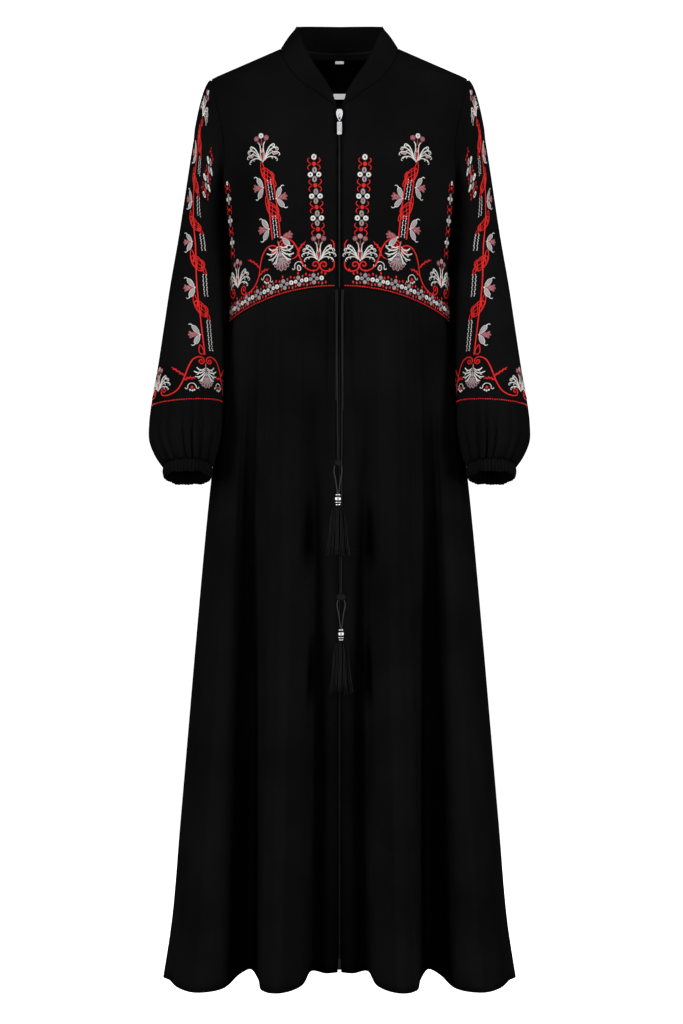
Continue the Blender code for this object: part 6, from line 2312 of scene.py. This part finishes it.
@dataclass(frozen=True)
class Finish:
    """Numbers of one surface; colour and gloss sit on the shader's own sockets."""

    name: str
    color: Spot
    roughness: float
    metallic: float = 0.0
    specular: float = 0.5
    sheen: float = 0.0
    sheen_rough: float = 0.4
    bump: float = 0.3
    bump_distance: float = 0.0002
    vary: float = 0.25
    vary_scale: float = 30.0
    rough_vary: float = 0.08
    # Emission strength; on the label it is painted light.
    glow: float = 0.0

    def start(self) -> tuple[Material, Tree, Node, Socket, Socket]:
        """A material with its shader's uniform values set.

        Returns:
            The material, its tree, its shader, and the places on the object and flat.
        """
        made, tree, shader = surface(self.name, {
            "Metallic": self.metallic, "Specular IOR Level": self.specular,
            "Sheen Weight": self.sheen, "Sheen Roughness": self.sheen_rough,
            "Emission Color": (1.0, 1.0, 1.0, 1.0), "Emission Strength": self.glow})
        place = tree.nodes.new("ShaderNodeTexCoord")
        return made, tree, shader, place.outputs["Object"], place.outputs["UV"]

    def mixed(self, tree: Tree, shader: Node, share: Socket, low: float, high: float) -> None:
        """Colour that goes from low to high times the finish's own, by a share."""
        mix = tree.nodes.new("ShaderNodeMix")
        mix.data_type = "RGBA"
        for end, factor in (("A", low), ("B", high)):
            mix.inputs[end].default_value = (*(min(1.0, factor * c) for c in self.color), 1.0)
        tree.links.new(share, mix.inputs["Factor"])
        tree.links.new(mix.outputs["Result"], shader.inputs["Base Color"])

    def varied(self, tree: Tree, shader: Node, place: Socket) -> None:
        """Colour and roughness that drift slowly over the surface."""
        drift = noise(tree, place, self.vary_scale, 4.0)
        span = tree.nodes.new("ShaderNodeMapRange")
        tree.links.new(drift, span.inputs["Value"])
        for label, value in (("From Min", 0.3), ("From Max", 0.7), ("To Min", 0.0), ("To Max", 1.0)):
            span.inputs[label].default_value = value
        self.mixed(tree, shader, span.outputs[0], 1.0 - self.vary, 1.0 + self.vary)
        rough = sums(tree, "MULTIPLY_ADD", span.outputs[0], self.rough_vary,
                     self.roughness - self.rough_vary / 2.0)
        tree.links.new(rough, shader.inputs["Roughness"])

    def bumped(self, tree: Tree, shader: Node, height: Socket, follows: Socket | None = None,
               distance: float | None = None) -> Socket:
        """A Bump node that reads height, on the shader's normal; returns its normal."""
        bump = tree.nodes.new("ShaderNodeBump")
        bump.inputs["Strength"].default_value = self.bump
        bump.inputs["Distance"].default_value = self.bump_distance if distance is None else distance
        tree.links.new(height, bump.inputs["Height"])
        if follows is not None:
            tree.links.new(follows, bump.inputs["Normal"])
        tree.links.new(bump.outputs["Normal"], shader.inputs["Normal"])
        return bump.outputs["Normal"]

    def group(self, tree: Tree, which: Tree, place: Socket, **values: float) -> Socket:
        """Put a shared group into the material with its own values."""
        node = tree.nodes.new("ShaderNodeGroup")
        node.node_tree = which
        tree.links.new(place, node.inputs["Place"])
        for word, value in values.items():
            node.inputs[word.capitalize()].default_value = value
        return node.outputs[0]


@dataclass(frozen=True)
class Crepe(Finish):
    """Matt black crepe with a pebbled grain and, on some pieces, a line of hem sewing."""

    grain: float = 1500.0
    hem: float | None = None
    hem_deep: float = 0.0009

    def make(self, weave: Weave) -> Material:
        """The material."""
        made, tree, shader, place, flat = self.start()
        self.varied(tree, shader, place)
        normal = self.bumped(tree, shader, self.group(tree, weave.grain, place, scale=self.grain))
        if self.hem is not None:
            sewn = self.group(tree, weave.sewing, flat, at=self.hem)
            dip = sums(tree, "MULTIPLY", sewn, -1.0)
            self.bumped(tree, shader, dip, normal, self.hem_deep)
        return made


@dataclass(frozen=True)
class Woven(Finish):
    """Plain-woven tape or label."""

    threads: float = 2400.0

    def make(self, weave: Weave) -> Material:
        """The material."""
        made, tree, shader, place, flat = self.start()
        self.varied(tree, shader, place)
        self.bumped(tree, shader, self.group(tree, weave.plain, flat, threads=self.threads))
        return made


@dataclass(frozen=True)
class Thread(Finish):
    """Rayon embroidery thread laid in satin stitch."""

    threads: float = 3000.0
    slant: float = 0.25

    def make(self, weave: Weave) -> Material:
        """The material: the troughs between threads are lower and carry painted shade, and a noise
        adds random tone.
        """
        made, tree, shader, place, flat = self.start()
        height = self.group(tree, weave.satin, flat, threads=self.threads, slant=self.slant)
        drift = noise(tree, place, self.vary_scale, 3.0)
        # Painted shade: the colour darkens with the stitch height towards the troughs; the noise on
        # top is random tone.
        lit = sums(tree, "MULTIPLY_ADD", height, 0.35, 0.45)
        lit = sums(tree, "ADD", lit, sums(tree, "MULTIPLY", drift, 0.30))
        self.mixed(tree, shader, lit, 0.55, 1.0)
        rough = sums(tree, "MULTIPLY_ADD", drift, self.rough_vary, self.roughness)
        tree.links.new(rough, shader.inputs["Roughness"])
        self.bumped(tree, shader, height)
        return made


@dataclass(frozen=True)
class Grained(Finish):
    """A surface with only fine noise: cord, floss, nylon or polished metal."""

    grain: float = 2500.0

    def make(self, weave: Weave) -> Material:
        """The material."""
        made, tree, shader, place, _ = self.start()
        self.varied(tree, shader, place)
        self.bumped(tree, shader, self.group(tree, weave.grain, place, scale=self.grain))
        return made


@dataclass(frozen=True)
class Finishes:
    """Every material of the garment."""

    crepe: Material
    crepe_hem: Material
    crepe_edge: Material
    yarn: Material
    sateen: Material
    floss: Material
    shade: Material
    tape: Material
    neck_tape: Material
    nylon: Material
    metal: Material
    plated: Material
    painted_groove_shade: Material
    label: Material
    red: Material
    white: Material
    grey: Material
    rose: Material
    pink: Material
    blue: Material

    @classmethod
    def made(cls) -> Finishes:
        """Make them all."""
        weave = Weave.made()
        cloth = {"color": (0.0058, 0.0058, 0.0060), "roughness": 0.70, "specular": 0.0,
                 "sheen": 0.001, "bump": 0.35, "bump_distance": 0.00025, "vary_scale": 9.0}
        silk = {"roughness": 0.45, "specular": 0.18, "bump": 0.55, "bump_distance": 0.00016,
                "vary_scale": 260.0, "rough_vary": 0.15}
        zinc = {"metallic": 1.0, "specular": 0.5}
        fine = {"vary_scale": 60.0}
        looks = {
            "crepe": Crepe("crepe", **cloth),
            "crepe_hem": Crepe("crepe_hemmed", hem=0.020, **cloth),
            "crepe_edge": Crepe("crepe_edged", hem=0.071, **cloth),
            "yarn": Grained("cord_yarn", (0.0065, 0.0065, 0.007), 0.50, specular=0.08, sheen=0.002,
                            **fine),
            "sateen": Grained("loop_sateen", (0.020, 0.020, 0.021), 0.40, specular=0.2, **fine),
            "floss": Grained("tassel_floss", (0.0080, 0.0080, 0.0084), 0.38, specular=0.08, **fine),
            # Painted shade: a near-black copy of the floss for the tassel strands that lie between
            # locks.
            "shade": Grained("tassel_painted_shade", (0.0006, 0.0006, 0.0006), 0.60, specular=0.0, **fine),
            "tape": Woven("zip_tape_weave", (0.0040, 0.0040, 0.0044), 0.75, specular=0.0, **fine),
            "neck_tape": Woven("neck_tape_weave", (0.030, 0.030, 0.032), 0.75, specular=0.0),
            "nylon": Grained("coil_nylon", (0.014, 0.014, 0.015), 0.38, specular=0.08, **fine),
            "metal": Grained("zinc_plated", (0.34, 0.34, 0.35), 0.22, bump=0.05, vary=0.04,
                             rough_vary=0.10, vary_scale=220.0, **zinc),
            "plated": Grained("zinc_bright", (0.44, 0.44, 0.45), 0.26, bump=0.0, vary=0.02,
                              rough_vary=0.02, **zinc),
            # Painted shade: near-black metal for the bead's core, which fills the grooves between its
            # bands.
            "painted_groove_shade": Grained("zinc_painted_shade", (0.02, 0.02, 0.02), 0.50, metallic=0.5,
                               specular=0.1, bump=0.05),
            # The label's glow is painted light: an emission that brightens it in the shade inside the
            # neck.
            "label": Woven("label_satin", (0.95, 0.95, 0.94), 0.55, vary=0.03, glow=0.35),
            "red": Thread("thread_red", (0.86, 0.010, 0.007), **silk),
            "white": Thread("thread_white", (0.92, 0.90, 0.87), **silk),
            "grey": Thread("thread_grey", (0.44, 0.42, 0.44), **silk),
            "rose": Thread("thread_rose", (0.42, 0.11, 0.13), **silk),
            "pink": Thread("thread_pink", (0.60, 0.36, 0.36), **silk),
            "blue": Thread("thread_pale_blue", (0.30, 0.45, 0.50), **silk),
        }
        return cls(**{name: look.make(weave) for name, look in looks.items()})


# ------------------------------------------------------------------ studio


@dataclass(frozen=True)
class Lamp:
    """A rectangular soft light at one place that shines to another."""

    name: str
    at: Spot
    to: Spot
    size: Flat
    power: float

    def build(self) -> None:
        """Make the light."""
        data = bpy.data.lights.new(self.name, "AREA")
        data.shape = "RECTANGLE"
        data.size, data.size_y = self.size
        data.energy = self.power
        obj = linked(self.name, data)
        obj.location = self.at
        x, y, z = np.subtract(self.to, self.at).tolist()
        obj.rotation_euler = (math.atan2(math.hypot(x, y), -z), 0.0, math.atan2(-x, y))


@dataclass
class Studio:
    """Pale floor that curves up all round, soft light from every side, and the camera."""

    floor_z: float = -1.92
    paper: Spot = (0.86, 0.86, 0.86)
    glow: float = 0.95
    middle: float = 0.0001
    radius: float = 9.0
    height: float = 12.0
    bend: float = 1.6
    camera_at: Spot = (0.003, -3.5, -0.689)
    lens: float = 81.3
    sky: float = 0.05
    lamps: tuple[Lamp, ...] = (
        Lamp("light_left", (-3.1, -2.35, -0.1), (0.0, 0.0, -0.75), (1.1, 2.8), 94.0),
        Lamp("light_right", (3.1, -2.35, -0.1), (0.0, 0.0, -0.75), (1.1, 2.8), 94.0),
        Lamp("light_top", (0.0, -2.4, 2.8), (0.0, 0.0, -0.5), (2.0, 1.2), 34.0),
        Lamp("light_card", (0.0, -5.2, 0.2), (0.0, 0.0, -0.3), (2.0, 2.4), 12.0),
        Lamp("light_behind", (0.0, 4.6, 0.9), (0.0, 0.0, -0.7), (2.4, 2.4), 130.0),
    )

    def backdrop(self) -> None:
        """Paper turned about the garment: flat floor, a quarter circle, then straight up."""
        rise = np.linspace(0.0, math.pi / 2.0, 24)
        reach = self.radius - self.bend * (1.0 - np.sin(rise))
        reach = np.concatenate([[self.middle], reach, [self.radius]])
        z = self.floor_z + np.concatenate([[0.0], self.bend * (1.0 - np.cos(rise)), [self.height]])
        turn = full_turn(96)
        grid = spots(reach[:, None] * np.cos(turn), reach[:, None] * np.sin(turn), z[:, None])
        quads = grid_quads(len(z), len(turn), True)
        mesh = mesh_from("paper", grid.reshape(-1, 3), quads, closed=False)
        obj = linked("paper", mesh)
        made, _, _ = surface("paper", {
            "Base Color": (*self.paper, 1.0), "Roughness": 0.95, "Specular IOR Level": 0.0,
            "Emission Color": (1.0, 1.0, 1.0, 1.0), "Emission Strength": self.glow})
        mesh.materials.append(made)
        obj.visible_diffuse = False

    def camera(self) -> None:
        """Camera at the height of the middle of the garment, looking level along +Y."""
        data = bpy.data.cameras.new("camera")
        data.lens = self.lens
        data.sensor_width = 36.0
        data.clip_end = 60.0
        obj = linked("camera", data)
        obj.location = self.camera_at
        obj.rotation_euler = (math.pi / 2.0, 0.0, 0.0)
        bpy.context.scene.camera = obj

    def build(self) -> None:
        """Set up the paper, the lights, the sky light and how the picture shows colour."""
        self.backdrop()
        for lamp in self.lamps:
            lamp.build()
        world = bpy.data.worlds.new("sky")
        bpy.context.scene.world = world
        world.use_nodes = True
        sky = world.node_tree.nodes["Background"]
        sky.inputs["Color"].default_value = (1.0, 1.0, 1.0, 1.0)
        sky.inputs["Strength"].default_value = self.sky
        bpy.context.scene.view_settings.view_transform = "Standard"


# ------------------------------------------------------------------ whole


def main() -> None:
    """Build the scene round the frame."""
    logging.basicConfig(level=logging.INFO, format="%(message)s")
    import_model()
    studio = Studio()
    studio.camera()
    finishes = Finishes.made()
    WaistTies().build(finishes)
    body = BodyForm()
    skirt = Skirt(body)
    sleeve = Sleeve(body)
    bodice = Bodice(body)
    bodice.build(finishes.crepe)
    Collar(body).build(finishes.crepe_edge)
    skirt.build(finishes.crepe_hem)
    sleeve.build(finishes.crepe)
    Cuff(sleeve).build(finishes.crepe)
    ZipFastener(body, skirt).build(finishes.tape, finishes.nylon, finishes.plated)
    NeckInside(body).build({Slot.TAPE: finishes.neck_tape, Slot.LABEL: finishes.label})
    ChestWork(bodice).build(finishes)
    SleeveWork(sleeve).build(finishes)
    studio.build()


if __name__ == "__main__":
    main()
